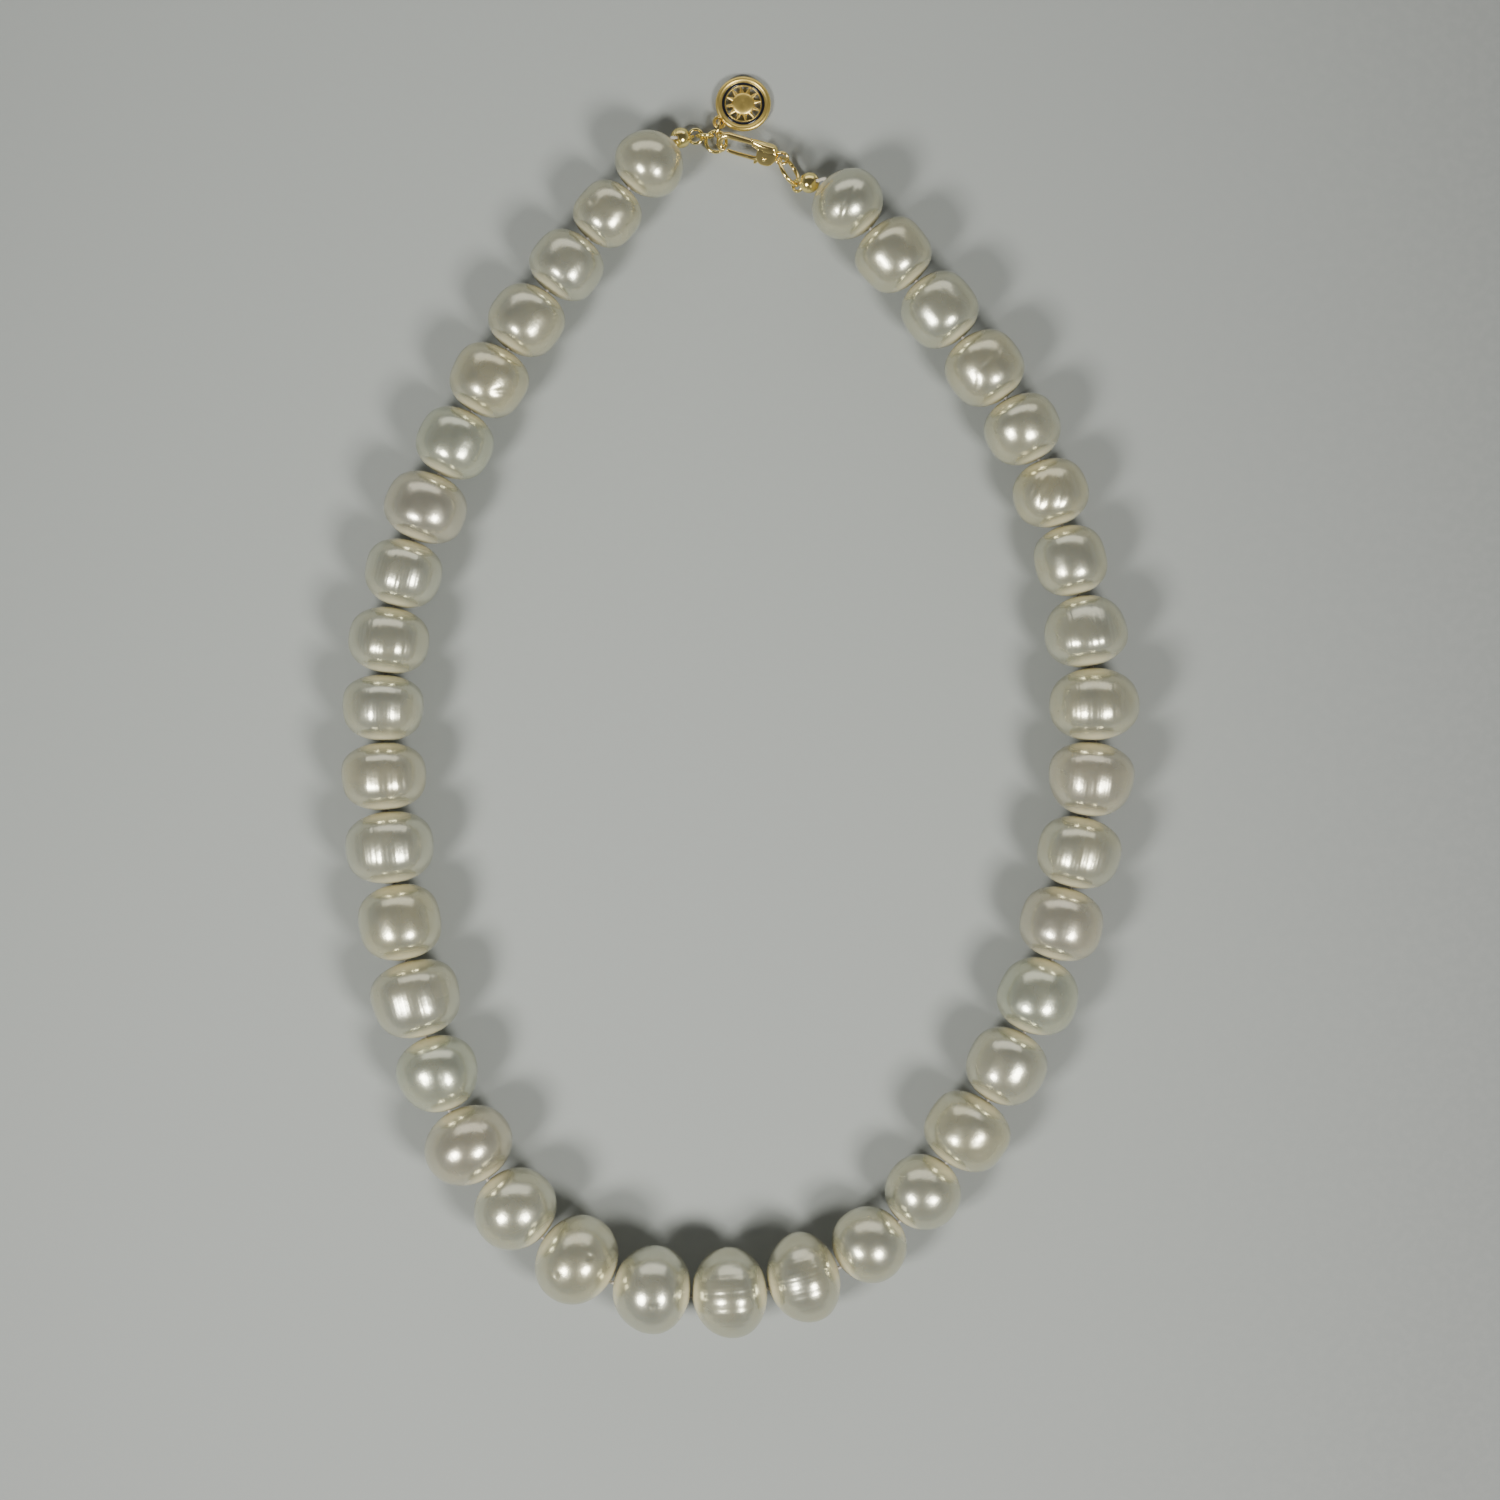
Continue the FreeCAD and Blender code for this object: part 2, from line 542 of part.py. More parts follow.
# ---------------------------------------------------------------- clasp
# The clasp's own X axis runs from its eye to the front of its hook, Y towards its back, Z through its thickness.
rail_y = (size("ClaspWidth") - size("ClaspRail")) / 2
hook_x = size("ClaspLength") - eye_centre - size("ClaspRail") / 2 - rail_y
pivot = (2.35, -0.62)
block_start, block_end = 0.75, 3.4
NOSE_TURN = 152.0          # degrees that the hook turns from its back to its nose
nose_angle = math.radians(90 - NOSE_TURN)
nose_radius = size("ClaspRail") / 2 + 0.08
nose_x = hook_x + rail_y * math.cos(nose_angle)


def make_clasp_body():
    """The cast body: an eye, a block with a slot for the lever, and a round bar bent into the hook."""
    body = new_body("ClaspBody")
    block = new_sketch(body, "BlockSketch")
    half = size("ClaspWidth") / 2
    outline(block, [(block_start - 0.5, -0.55), (block_start + 0.6, -half * 0.86), (block_end - 0.6, -half),
                    (block_end, -half * 0.7), (block_end + 0.5, half * 0.45), (block_end + 0.9, half * 0.9),
                    (block_start + 0.9, half * 0.86), (block_start - 0.5, 0.55)])
    pad(body, block, "Block", "Sizes.ClaspBlock")

    bar = new_sketch(body, "BarSection", "YZ_Plane", Vector(0, 0, block_start + 1.4))
    circle(bar, (rail_y, 0), "Sizes.ClaspRail / 2", "BarRadius")
    path = new_sketch(body, "BarPath")
    path.addGeometry(Part.LineSegment(Vector(block_start + 1.4, rail_y, 0), Vector(hook_x, rail_y, 0)), False)
    turn = Part.Circle(Vector(hook_x, 0, 0), Vector(0, 0, 1), rail_y)
    path.addGeometry(Part.ArcOfCircle(turn, nose_angle, math.radians(90)), False)
    doc.recompute()
    hook = body.newObject("PartDesign::AdditivePipe", "Hook")
    hook.Profile = bar
    hook.Spine = path

    nose = body.newObject("PartDesign::AdditiveSphere", "Nose")
    nose.setExpression("Radius", "Sizes.ClaspRail / 2 + 0.08")
    nose.AttachmentSupport = [(plane, "") for plane in body.Origin.OriginFeatures if plane.Role == "XY_Plane"]
    nose.MapMode = "FlatFace"
    nose.AttachmentOffset = FreeCAD.Placement(
        Vector(nose_x, rail_y * math.sin(nose_angle), 0), Rotation())

    eye = new_sketch(body, "EyeSketch")
    circle(eye, (0, 0), "Sizes.ClaspEye / 2", "EyeRadius")
    pad(body, eye, "Eye", "Sizes.ClaspEyePlate")

    hole = new_sketch(body, "EyeHoleSketch")
    circle(hole, (0, 0), "Sizes.ClaspEyeHole / 2", "EyeHoleRadius")
    pocket(body, hole, "EyeHole", "Sizes.ClaspBlock * 2")

    slot = new_sketch(body, "SlotSketch")
    outline(slot, [(block_start + 0.35, -half - 0.3), (block_end + 1.2, -half - 0.3), (block_end + 1.2, 0.45),
                   (block_start + 0.35, 0.2)])
    pocket(body, slot, "Slot", "Sizes.LeverSlot")

    pin_hole = new_sketch(body, "PinHoleSketch")
    circle(pin_hole, pivot, "Sizes.PivotPin / 2", "PinHoleRadius")
    pocket(body, pin_hole, "PinHole", "Sizes.ClaspBlock * 2")
    return body


def make_lever():
    """The lever: a hub on the pivot pin, an arm that shuts the hook, and a tab for the fingernail."""
    body = new_body("ClaspLever")
    px, py = pivot
    tip_x = nose_x - nose_radius - size("LeverGap")
    arm_out, arm_in = -rail_y - size("ClaspRail") * 0.45, -rail_y + size("ClaspRail") * 0.35
    profile = new_sketch(body, "LeverSketch")
    outline(profile, [(px - 0.35, py + 0.35), (px - 0.42, py - 0.2), (px - 0.1, arm_out), (px + 0.8, arm_out - 0.1),
                      (px + 1.0, arm_out - 0.75), (px + 1.45, arm_out - 0.8), (px + 1.75, arm_out - 0.1),
                      (tip_x - 1.0, arm_out), (tip_x - 0.15, arm_out + 0.3), (tip_x, arm_in),
                      (px + 1.9, arm_in), (px + 0.5, py + 0.3)])
    pad(body, profile, "LeverPlate", "Sizes.LeverPlate")
    bore = new_sketch(body, "BoreSketch")
    circle(bore, pivot, "Sizes.PivotPin / 2 + Sizes.PivotPlay", "BoreRadius")
    pocket(body, bore, "Bore", "Sizes.LeverPlate * 2")
    return body


def make_spring():
    """A hairpin wire spring in the slot behind the lever's hub."""
    wire = size("SpringWire")
    back_x = block_start + 0.35 + wire
    front_x = back_x + 0.42
    low, high = -0.75, -0.12
    path = Part.Wire([
        Part.LineSegment(Vector(back_x, low, 0), Vector(back_x, high, 0)).toShape(),
        Part.Arc(Vector(back_x, high, 0), Vector((back_x + front_x) / 2, high + 0.21, 0),
                 Vector(front_x, high, 0)).toShape(),
        Part.LineSegment(Vector(front_x, high, 0), Vector(front_x, low, 0)).toShape()])
    section = Part.Wire([Part.Circle(Vector(back_x, low, 0), Vector(0, 1, 0), wire / 2).toShape()])
    spring = doc.addObject("Part::Feature", "ClaspSpring")
    spring.Shape = path.makePipeShell([section], True, False)
    return spring


clasp_base = Vector(clasp_eye.x, clasp_eye.y, clasp_height)
clasp_yaw = HEADINGS["clasp"] + 180
CLASP_LEAN = {"yaw": clasp_yaw, "roll": 180 - CLASP_ROLL}
keep(make_clasp_body(), "clasp_body", clasp_base, **CLASP_LEAN)
keep(make_lever(), "clasp_lever", clasp_base, **CLASP_LEAN)
pin = primitive("Cylinder", "ClaspPin", Radius="Sizes.PivotPin / 2", Height="Sizes.ClaspBlock")
pin_end = Rotation(clasp_yaw, 0, 180 - CLASP_ROLL).multVec(Vector(pivot[0], pivot[1], -size("ClaspBlock") / 2))
keep(pin, "clasp_pin", clasp_base + pin_end, **CLASP_LEAN)
keep(make_spring(), "clasp_spring", clasp_base, **CLASP_LEAN)

# ---------------------------------------------------------------- origin, checks and export
doc.recompute()
bad = [obj.Name for obj in doc.Objects if "Invalid" in obj.State or "Error" in obj.State]
bad += [obj.Label for obj in MADE if obj.Shape.isNull() or not obj.Shape.isValid()]
if bad:
    raise RuntimeError("failed objects: " + ", ".join(bad))

# The origin is the middle of the whole necklace, on the table
box = FreeCAD.BoundBox()
for obj in MADE:
    box.add(obj.Shape.optimalBoundingBox(False, False))
shift = Vector(-box.Center.x, -box.Center.y, -box.ZMin)
for obj in MADE:
    obj.Placement.Base = obj.Placement.Base + shift
doc.recompute()

os.makedirs("parts", exist_ok=True)
for obj in MADE:
    obj.Shape.exportStep("parts/%s.step" % obj.Label)
print("bend factors %.3f left, %.3f right; %d sub-parts, %.1f x %.1f x %.1f mm" % (
    left_factor, right_factor, len(MADE), box.XLength, box.YLength, box.ZLength))
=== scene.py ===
# %% [markdown]
# # Pearl necklace
# A strand of cream pearls on one silk thread, shut by a small gold lobster clasp, lying on a pale table.
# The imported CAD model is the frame: every piece made here rides on one of its bodies, so it opens and bends
# with it. All lengths are in metres.

# %% Frame
import json
import math
import bpy
import numpy as np
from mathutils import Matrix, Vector


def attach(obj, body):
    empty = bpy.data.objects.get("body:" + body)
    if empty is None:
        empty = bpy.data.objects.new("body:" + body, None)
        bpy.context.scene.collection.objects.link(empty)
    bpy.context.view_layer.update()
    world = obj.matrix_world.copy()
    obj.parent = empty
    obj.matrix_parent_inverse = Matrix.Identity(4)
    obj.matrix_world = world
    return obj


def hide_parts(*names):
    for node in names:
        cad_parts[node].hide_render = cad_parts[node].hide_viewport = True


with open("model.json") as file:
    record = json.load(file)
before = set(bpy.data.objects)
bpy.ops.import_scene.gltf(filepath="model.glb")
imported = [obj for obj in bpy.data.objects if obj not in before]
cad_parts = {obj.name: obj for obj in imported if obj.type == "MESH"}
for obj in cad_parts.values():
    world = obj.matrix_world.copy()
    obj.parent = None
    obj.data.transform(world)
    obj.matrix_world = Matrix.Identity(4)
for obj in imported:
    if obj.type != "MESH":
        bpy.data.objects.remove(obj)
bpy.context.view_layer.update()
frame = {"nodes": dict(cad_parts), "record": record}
MM = 0.001
NODES = frame["nodes"]
JOINTS = {joint["name"]: joint for joint in frame["record"]["behaviour"]["joints"]}

# %% [markdown]
# ## Reading the frame
# Each new piece takes its place and size from the CAD node that it stands for: its vertices, and the hinges
# beside it. Nothing is copied by hand, so a piece can't drift away from its body.

# %% Points and hinges of the frame
def points_of(*nodes):
    """All vertices of the CAD nodes, as an array of rows x, y, z."""
    parts = []
    for node in nodes:
        mesh = NODES[node].data
        flat = np.empty(len(mesh.vertices) * 3)
        mesh.vertices.foreach_get("co", flat)
        parts.append(flat.reshape(-1, 3))
    return np.concatenate(parts)


def hinge(name):
    return np.array(JOINTS[name]["pos_m"], float)


def unit(v):
    return np.asarray(v, float) / np.linalg.norm(v)


PEARL_COUNT = sum(1 for node in NODES if node.startswith("pearl_"))
HINGES = [hinge("left_tip_swing")]
HINGES += [hinge("bend_%02d_%02d" % (k, k + 1)) for k in range(1, PEARL_COUNT)]
HINGES += [hinge("right_tip_swing")]
BODY_OF = {node: body for body, nodes in frame["record"]["behaviour"]["bodies"].items() for node in nodes}
print(PEARL_COUNT, "pearls between", len(HINGES), "hinges")

# %% [markdown]
# ## Surfaces
# Pearls, wires and cast pieces are all curved skins with two parameters, so one function turns a grid of
# points into a mesh. A grid can close on itself either way round, and its open ends can be shut with a cap.
# Primitives with modifiers would also do, but a formula per piece keeps every form next to the size that it
# takes from the frame.

# %% Grid of points to mesh
def skin(name, grid, close_u=True, close_v=False, caps=(False, False)):
    """A mesh object from grid[v, u] = (x, y, z): quads between neighbours, faces outward where u runs
    anticlockwise seen from the end that v runs to.  caps shuts the first and last row with a fan."""
    rows, cols = grid.shape[:2]
    index = np.arange(rows * cols).reshape(rows, cols)
    if close_u:
        index = np.concatenate([index, index[:, :1]], axis=1)
    if close_v:
        index = np.concatenate([index, index[:1]], axis=0)
    a, b = index[:-1, :-1].ravel(), index[:-1, 1:].ravel()
    c, d = index[1:, 1:].ravel(), index[1:, :-1].ravel()
    quads = np.stack([a, b, c, d], axis=1)
    coords = grid.reshape(-1, 3)
    loops, totals = quads.ravel(), np.full(len(quads), 4)
    for wanted, row, turn in ((caps[0], 0, -1), (caps[1], rows - 1, 1)):
        if wanted:
            centre = len(coords)
            coords = np.concatenate([coords, grid[row].mean(axis=0)[None]])
            ring = np.arange(row * cols, (row + 1) * cols)[::turn]
            fan = np.stack([ring, np.roll(ring, -1), np.full(cols, centre)], axis=1)
            loops, totals = np.concatenate([loops, fan.ravel()]), np.concatenate([totals, np.full(cols, 3)])
    mesh = bpy.data.meshes.new(name)
    mesh.vertices.add(len(coords))
    mesh.vertices.foreach_set("co", coords.astype(np.float32).ravel())
    mesh.loops.add(len(loops))
    mesh.loops.foreach_set("vertex_index", loops.astype(np.int32))
    mesh.polygons.add(len(totals))
    starts = np.concatenate([[0], np.cumsum(totals)[:-1]])
    mesh.polygons.foreach_set("loop_start", starts.astype(np.int32))
    mesh.polygons.foreach_set("use_smooth", np.ones(len(totals), bool))
    mesh.update(calc_edges=True)
    mesh.validate()
    obj = bpy.data.objects.new(name, mesh)
    bpy.context.scene.collection.objects.link(obj)
    return obj


def attribute(obj, name, values):
    """A number per vertex that a finish can read."""
    layer = obj.data.attributes.new(name, "FLOAT", "POINT")
    full = np.zeros(len(obj.data.vertices), np.float32)
    full[:len(values)] = values
    layer.data.foreach_set("value", full)


def finish_piece(obj, body, material, slot, *nodes):
    obj.data.materials.append(material)
    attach(obj, body)
    if nodes:
        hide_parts(*nodes)
    return obj


def frames_along(path):
    """Unit tangents and two normals of a path, turned as little as possible from point to point."""
    tangents = np.gradient(path, axis=0)
    tangents /= np.linalg.norm(tangents, axis=1)[:, None]
    side = np.cross(tangents[0], (0, 0, 1))
    if np.linalg.norm(side) < 0.1:
        side = np.cross(tangents[0], (1, 0, 0))
    sides = []
    for tangent in tangents:
        side = unit(side - tangent * (side @ tangent))
        sides.append(side)
    sides = np.array(sides)
    return tangents, sides, np.cross(tangents, sides)


def tube(name, path, radius, count=24, flatten=None, side_axis=None):
    """A round bar along path.  radius is a number or one per point, flatten the same for its second
    half-width."""
    tangents, sides, ups = frames_along(path)
    if side_axis is not None:
        ups = np.repeat(unit(side_axis)[None], len(path), axis=0)
        sides = np.cross(ups, tangents)
    wide = np.broadcast_to(radius, (len(path),))[:, None, None]
    high = wide if flatten is None else np.broadcast_to(flatten, (len(path),))[:, None, None]
    angle = np.linspace(0, 2 * np.pi, count, endpoint=False)[None, :, None]
    grid = path[:, None] + wide * np.cos(angle) * sides[:, None] + high * np.sin(angle) * ups[:, None]
    return skin(name, grid, caps=(True, True))


print("surface tools ready")

# %% [markdown]
# ## Finishes as formulas
# A finish is easier to read as a formula than as a web of nodes. `Value` wraps one socket, so that plus,
# minus and times between values make the matching math nodes.

# %% Shader helpers
class Value:
    """One output socket of a shader graph, with arithmetic."""

    def __init__(self, graph, socket):
        self.graph, self.socket = graph, socket

    def _math(self, operation, *values):
        return self.graph.node("ShaderNodeMath", {"operation": operation}, dict(enumerate(values)))

    def __add__(self, other):
        return self._math("ADD", self, other)

    def __radd__(self, other):
        return self._math("ADD", other, self)

    def __sub__(self, other):
        return self._math("SUBTRACT", self, other)

    def __rsub__(self, other):
        return self._math("SUBTRACT", other, self)

    def __mul__(self, other):
        return self._math("MULTIPLY", self, other)

    def __rmul__(self, other):
        return self._math("MULTIPLY", other, self)

    def abs(self):
        return self._math("ABSOLUTE", self)

    def ramp(self, low, high, to_low=0.0, to_high=1.0):
        """low..high to to_low..to_high, held at both ends and eased."""
        return self.graph.node("ShaderNodeMapRange", {"interpolation_type": "SMOOTHSTEP"},
                               {"Value": self, "From Min": low, "From Max": high, "To Min": to_low,
                                "To Max": to_high})


class Graph:
    """A new material and its node graph."""

    def __init__(self, name, **principled):
        self.material = bpy.data.materials.new(name)
        self.material.use_nodes = True
        self.tree = self.material.node_tree
        self.tree.nodes.clear()
        self.shader = self.tree.nodes.new("ShaderNodeBsdfPrincipled")
        self.output = self.tree.nodes.new("ShaderNodeOutputMaterial")
        self.tree.links.new(self.shader.outputs[0], self.output.inputs["Surface"])
        self.set(**principled)

    def set(self, **inputs):
        """Values or links for the shader's own sockets."""
        for key, value in inputs.items():
            self._put(self.shader.inputs[key.replace("_", " ")], value)

    def _put(self, socket, value):
        if isinstance(value, Value):
            self.tree.links.new(value.socket, socket)
        elif isinstance(value, (tuple, list)) and len(value) == 3 and len(socket.default_value) == 4:
            socket.default_value = (*value, 1.0)
        else:
            socket.default_value = value

    def node(self, kind, settings=None, inputs=None, out=0):
        """Any node: its settings first, then values or links for its sockets, by name or number."""
        node = self.tree.nodes.new(kind)
        for key, value in (settings or {}).items():
            setattr(node, key, value)
        for key, value in (inputs or {}).items():
            self._put(node.inputs[key], value)
        return Value(self, node.outputs[out])

    def object_point(self):
        return self.node("ShaderNodeTexCoord", out="Object")

    def attribute(self, name):
        return self.node("ShaderNodeAttribute", {"attribute_name": name}, out="Fac")

    def noise(self, scale, detail=3.0, roughness=0.55, vector=None):
        """Smooth noise, 0 to 1; scale is features per metre."""
        return self.node("ShaderNodeTexNoise", {}, {"Vector": vector or self.object_point(), "Scale": scale,
                                                    "Detail": detail, "Roughness": roughness})

    def stretched(self, scale):
        """Object coordinates multiplied axis by axis, for streaks."""
        return self.node("ShaderNodeVectorMath", {"operation": "MULTIPLY"},
                         {0: self.object_point(), 1: scale})

    def mix(self, factor, first, second):
        return self.node("ShaderNodeMix", {"data_type": "RGBA"}, {0: factor, 6: first, 7: second}, out=2)

    def bump(self, height, distance):
        """A height of 0 to 1 as relief, distance metres deep."""
        return self.node("ShaderNodeBump", {}, {"Height": height, "Distance": distance, "Strength": 1.0})


print("shader helpers ready")

# %% [markdown]
# ## Nacre
# Nacre is many thin clear layers over a pale core. A blurred mirror-like reflection from the depth, a
# sharper one from the surface and a thin-film tint at grazing angles give the lustre. Each pearl has its
# own body colour and overtone, from attributes, because a strand is never perfectly matched. Real nacre
# could be layered glass over a scattering ball; a partly metallic shader under a clear coat gives the same
# soft mirror with far less noise.

# %% Nacre finish
def nacre_finish():
    g = Graph("nacre", IOR=1.53, Coat_Weight=0.4, Coat_Roughness=0.15, Coat_IOR=1.5, Subsurface_Weight=0.1,
              Subsurface_Scale=0.002, Subsurface_Radius=(1.0, 0.75, 0.45), Thin_Film_Thickness=310.0,
              Thin_Film_IOR=1.4)
    warm, overtone, along = g.attribute("warm"), g.attribute("overtone"), g.attribute("along")
    across, ribbed, offset = g.attribute("across"), g.attribute("ribbed"), g.attribute("offset")
    cloud = g.noise(170.0, 2.0)
    fine = g.noise(1400.0, 3.0)
    cream = g.mix(warm, (0.53, 0.53, 0.405), (0.58, 0.54, 0.335))
    body = g.mix(cloud.ramp(0.35, 0.7) * 0.5, cream, (0.62, 0.635, 0.53))
    rose = g.mix(overtone.ramp(0.0, 1.0) * 0.2, body, (0.62, 0.49, 0.39))
    green = g.mix((0.0 - overtone).ramp(0.0, 1.0) * 0.35, rose, (0.48, 0.54, 0.43))
    mouth = along.abs().ramp(0.72, 0.97)
    # painted light: the colour is paler by the mouths, so the gaps between pearls read lit rather than shaded
    ends = g.mix(mouth * 0.75, green, (0.72, 0.685, 0.49))
    ribs = g.node("ShaderNodeTexNoise", {"noise_dimensions": "1D"},
                  {"W": across * 3.6 + offset, "Scale": 1.0, "Detail": 2.0, "Roughness": 0.5})
    dimple = g.noise(330.0, 3.0, 0.5)
    # the worn skin round the mouths has lost its lustre, so it is less like a mirror
    lustre = cloud.ramp(0.3, 0.7, 0.72, 0.84) * (mouth * -0.85 + 1.0)
    g.set(Base_Color=ends, Roughness=0.19 + 0.05 * fine + 0.06 * cloud, Metallic=lustre,
          Normal=g.bump(ribs * ribbed * 0.7 + dimple * 0.5 + fine * 0.02, 0.00015))
    return g.material


nacre = nacre_finish()
print("finish:", nacre.name, "with", len(nacre.node_tree.nodes), "nodes")

# %% [markdown]
# ## Pearls
# A drilled pearl is a barrel-like body about its hole, a little lumpy, with shallow growth rings that run
# from mouth to mouth of the hole and the odd dimple or wrinkle. Its skin runs from one mouth of the hole
# over the outside to the other and back through the hole, so that it is closed. The mouths are slightly
# chipped and countersunk. A ball with noise laid on it would look alike from pearl to pearl; waves, rings
# and marks that are drawn for each pearl don't.

# %% Pearl shapes
class Pearl:
    """Middle, axis, half length and half width of one drilled pearl, measured from its CAD node."""

    def __init__(self, number):
        self.number = number
        self.node = "pearl_%02d" % number
        points = points_of(self.node)
        self.axis = unit(HINGES[number] - HINGES[number - 1])
        self.middle = (points.min(axis=0) + points.max(axis=0)) / 2
        along = (points - self.middle) @ self.axis
        beside_cover = number in (1, PEARL_COUNT)
        self.half_length = (along.max() - along.min()) / 2 + (0.0 if beside_cover else 0.05 * MM)
        self.middle = self.middle + self.axis * (along.max() + along.min()) / 2
        away = points - self.middle - np.outer((points - self.middle) @ self.axis, self.axis)
        self.half_width = np.linalg.norm(away, axis=1).max()
        self.side = unit(np.cross((0, 0, 1), self.axis))
        self.up = np.cross(self.axis, self.side)
        # where the strand hardly bends, the pearls' ends are broad; at sharp bends and beside the covers they
        # stay egg-like
        self.fullness = 0.0 if beside_cover else float(np.interp(self.bend(), (5, 14), (0.085, 0.01)))

    def bend(self):
        """The sharper of the strand's two bends beside the pearl, in degrees."""
        turns = []
        for k in (self.number - 1, self.number):
            if 0 < k < PEARL_COUNT:
                before, after = unit(HINGES[k] - HINGES[k - 1]), unit(HINGES[k + 1] - HINGES[k])
                turns.append(math.degrees(math.acos(min(1.0, before @ after))))
        return max(turns)


BORE = 0.475 * MM
COUNTERSINK, CHIPPED = 0.03 * MM, 0.06 * MM      # how much wider the bore's mouth and the skin's edge are
LUMP = 0.055                       # height of the lowest waves over a pearl, mm
RING_DEPTH = 0.05                  # depth of a full growth ring, mm
# Pearls with a character of their own: how many growth rings each shows, and which have an overtone or a
# warm body
RINGED = {8: 3, 9: 4, 10: 3, 11: 4, 12: 3, 14: 2, 20: 4, 21: 3, 28: 3, 29: 4, 30: 4, 31: 3}
ROSE = (7, 16, 27, 29)
GREEN = (6, 15, 26)
WARM = {5: 0.75, 11: 0.5, 13: 0.6, 18: 0.6, 24: 0.6, 30: 0.5, 33: 0.8, 35: 0.65, 37: 0.5}
# Marks: pearl, place along the axis (-1..1), angle round it in degrees (90 on top), long and short
# half-size in mm, turn of the long way from the axis in degrees, depth in mm
MARKS = [
    (5, 0.15, 60, 1.5, 0.45, 60, 0.12), (33, 0.1, 80, 2.4, 0.4, 35, 0.16),
    (33, -0.15, 105, 2.0, 0.35, 30, 0.12), (33, 0.35, 70, 1.6, 0.3, 40, 0.1),
    (35, 0.0, 95, 1.8, 0.4, 80, 0.1), (35, -0.3, 60, 1.2, 0.3, 50, 0.08),
    (38, 0.1, 100, 2.6, 0.28, 70, 0.08), (38, -0.1, 75, 2.0, 0.22, 60, 0.07),
    (18, 0.2, 70, 0.5, 0.45, 0, 0.16), (18, -0.25, 115, 0.4, 0.35, 0, 0.12),
    (19, 0.1, 105, 0.45, 0.4, 0, 0.14), (12, 0.3, 50, 1.2, 0.5, 20, 0.08),
    (24, -0.2, 120, 1.4, 0.5, 50, 0.09), (2, 0.1, 120, 0.6, 0.5, 0, 0.08),
]


def pearl_piece(pearl):
    """u runs round the hole, v from mouth to mouth over the outside and back through the hole."""
    rng = np.random.default_rng(4100 + pearl.number)
    cols, rows, inner = 128, 96, 6
    polar = np.linspace(0, np.pi, rows)
    edge = math.asin(min(0.9, (BORE + CHIPPED) / pearl.half_width))
    polar = edge + (np.pi - 2 * edge) * (polar - 0.18 * np.sin(2 * polar) / 2) / np.pi
    angle = np.linspace(0, 2 * np.pi, cols, endpoint=False)
    along = -np.cos(polar)[:, None]
    out = np.sin(polar)[:, None]
    # low lumps: a few smooth waves over the ball, flat at the mouths
    lumps = np.zeros((rows, cols))
    for order in (1, 2, 3):
        for wave in (0, 1, 2):
            size = rng.normal(0, LUMP / (order + 0.6 * wave)) * MM
            lumps += size * out * np.cos(order * (polar[:, None] - rng.uniform(0, np.pi))) * np.cos(
                wave * angle[None] + rng.uniform(0, 2 * np.pi)) * 1.6
    # growth rings: grooves whose planes hold the hole's axis, so they run from mouth to mouth, a little wavy
    across = np.cos(angle)[None] * out
    rings = np.zeros((rows, cols))
    for _ in range(RINGED.get(pearl.number, 1)):
        place, width = rng.uniform(-0.6, 0.6), rng.uniform(0.04, 0.10)
        wavy = place + 0.03 * along * rng.normal()
        strength = rng.uniform(0.4, 1.0) * (1.0 if pearl.number in RINGED else 0.35)
        rings -= strength * np.exp(-((across - wavy) / width) ** 2)
    marks = np.zeros((rows, cols))
    for number, place, turn, long_half, short_half, lie, depth in MARKS:
        if number == pearl.number:
            da = (along - place) * pearl.half_length / MM
            round_by = (angle[None] - math.radians(turn) + np.pi) % (2 * np.pi) - np.pi
            dr = round_by * out * pearl.half_width / MM
            lie = math.radians(lie)
            far = (da * math.cos(lie) + dr * math.sin(lie)) / long_half
            near = (dr * math.cos(lie) - da * math.sin(lie) + 0.12 * far ** 2) / short_half
            marks -= depth * np.exp(-far ** 2 - near ** 2)
    skew = rng.normal(0, 0.03)
    fuller = 1 + pearl.fullness * np.sin(2 * polar)[:, None] ** 2
    barrel = pearl.half_width * out * fuller * (1 + skew * along * out)
    radius = barrel + lumps + (rings * RING_DEPTH + marks) * MM * out
    length = pearl.half_length * along * (1 + (fuller - 1) * 0.5) * np.ones_like(radius)
    # the hole: a short countersink, then the bore
    bore_along = np.concatenate([[1 - 0.012], np.linspace(0.93, -0.93, inner), [-1 + 0.012]])
    bore_radius = np.full(len(bore_along), BORE)
    bore_radius[[0, -1]] = BORE + COUNTERSINK
    radius = np.concatenate([radius, np.repeat(bore_radius[:, None], cols, axis=1)])
    length = np.concatenate([length, np.repeat(bore_along[:, None] * pearl.half_length, cols, axis=1)])
    grid = (pearl.middle + length[..., None] * pearl.axis
            + radius[..., None] * (np.cos(angle)[None, :, None] * pearl.side
                                   + np.sin(angle)[None, :, None] * pearl.up))
    obj = skin("Pearl_%02d" % pearl.number, grid, close_v=True)
    attribute(obj, "across", (np.cos(angle)[None] * radius / pearl.half_width).ravel())
    attribute(obj, "ribbed", np.full(radius.size, 1.0 if pearl.number in RINGED else 0.18))
    attribute(obj, "offset", np.full(radius.size, pearl.number * 7.3))
    attribute(obj, "along", (length / pearl.half_length).ravel())
    attribute(obj, "warm", np.full(radius.size, WARM.get(pearl.number, rng.uniform(0.12, 0.42))))
    tint = 1.0 if pearl.number in ROSE else -1.0 if pearl.number in GREEN else rng.normal(0.1, 0.2)
    attribute(obj, "overtone", np.full(radius.size, tint))
    return finish_piece(obj, BODY_OF[pearl.node], nacre, "nacre", pearl.node)


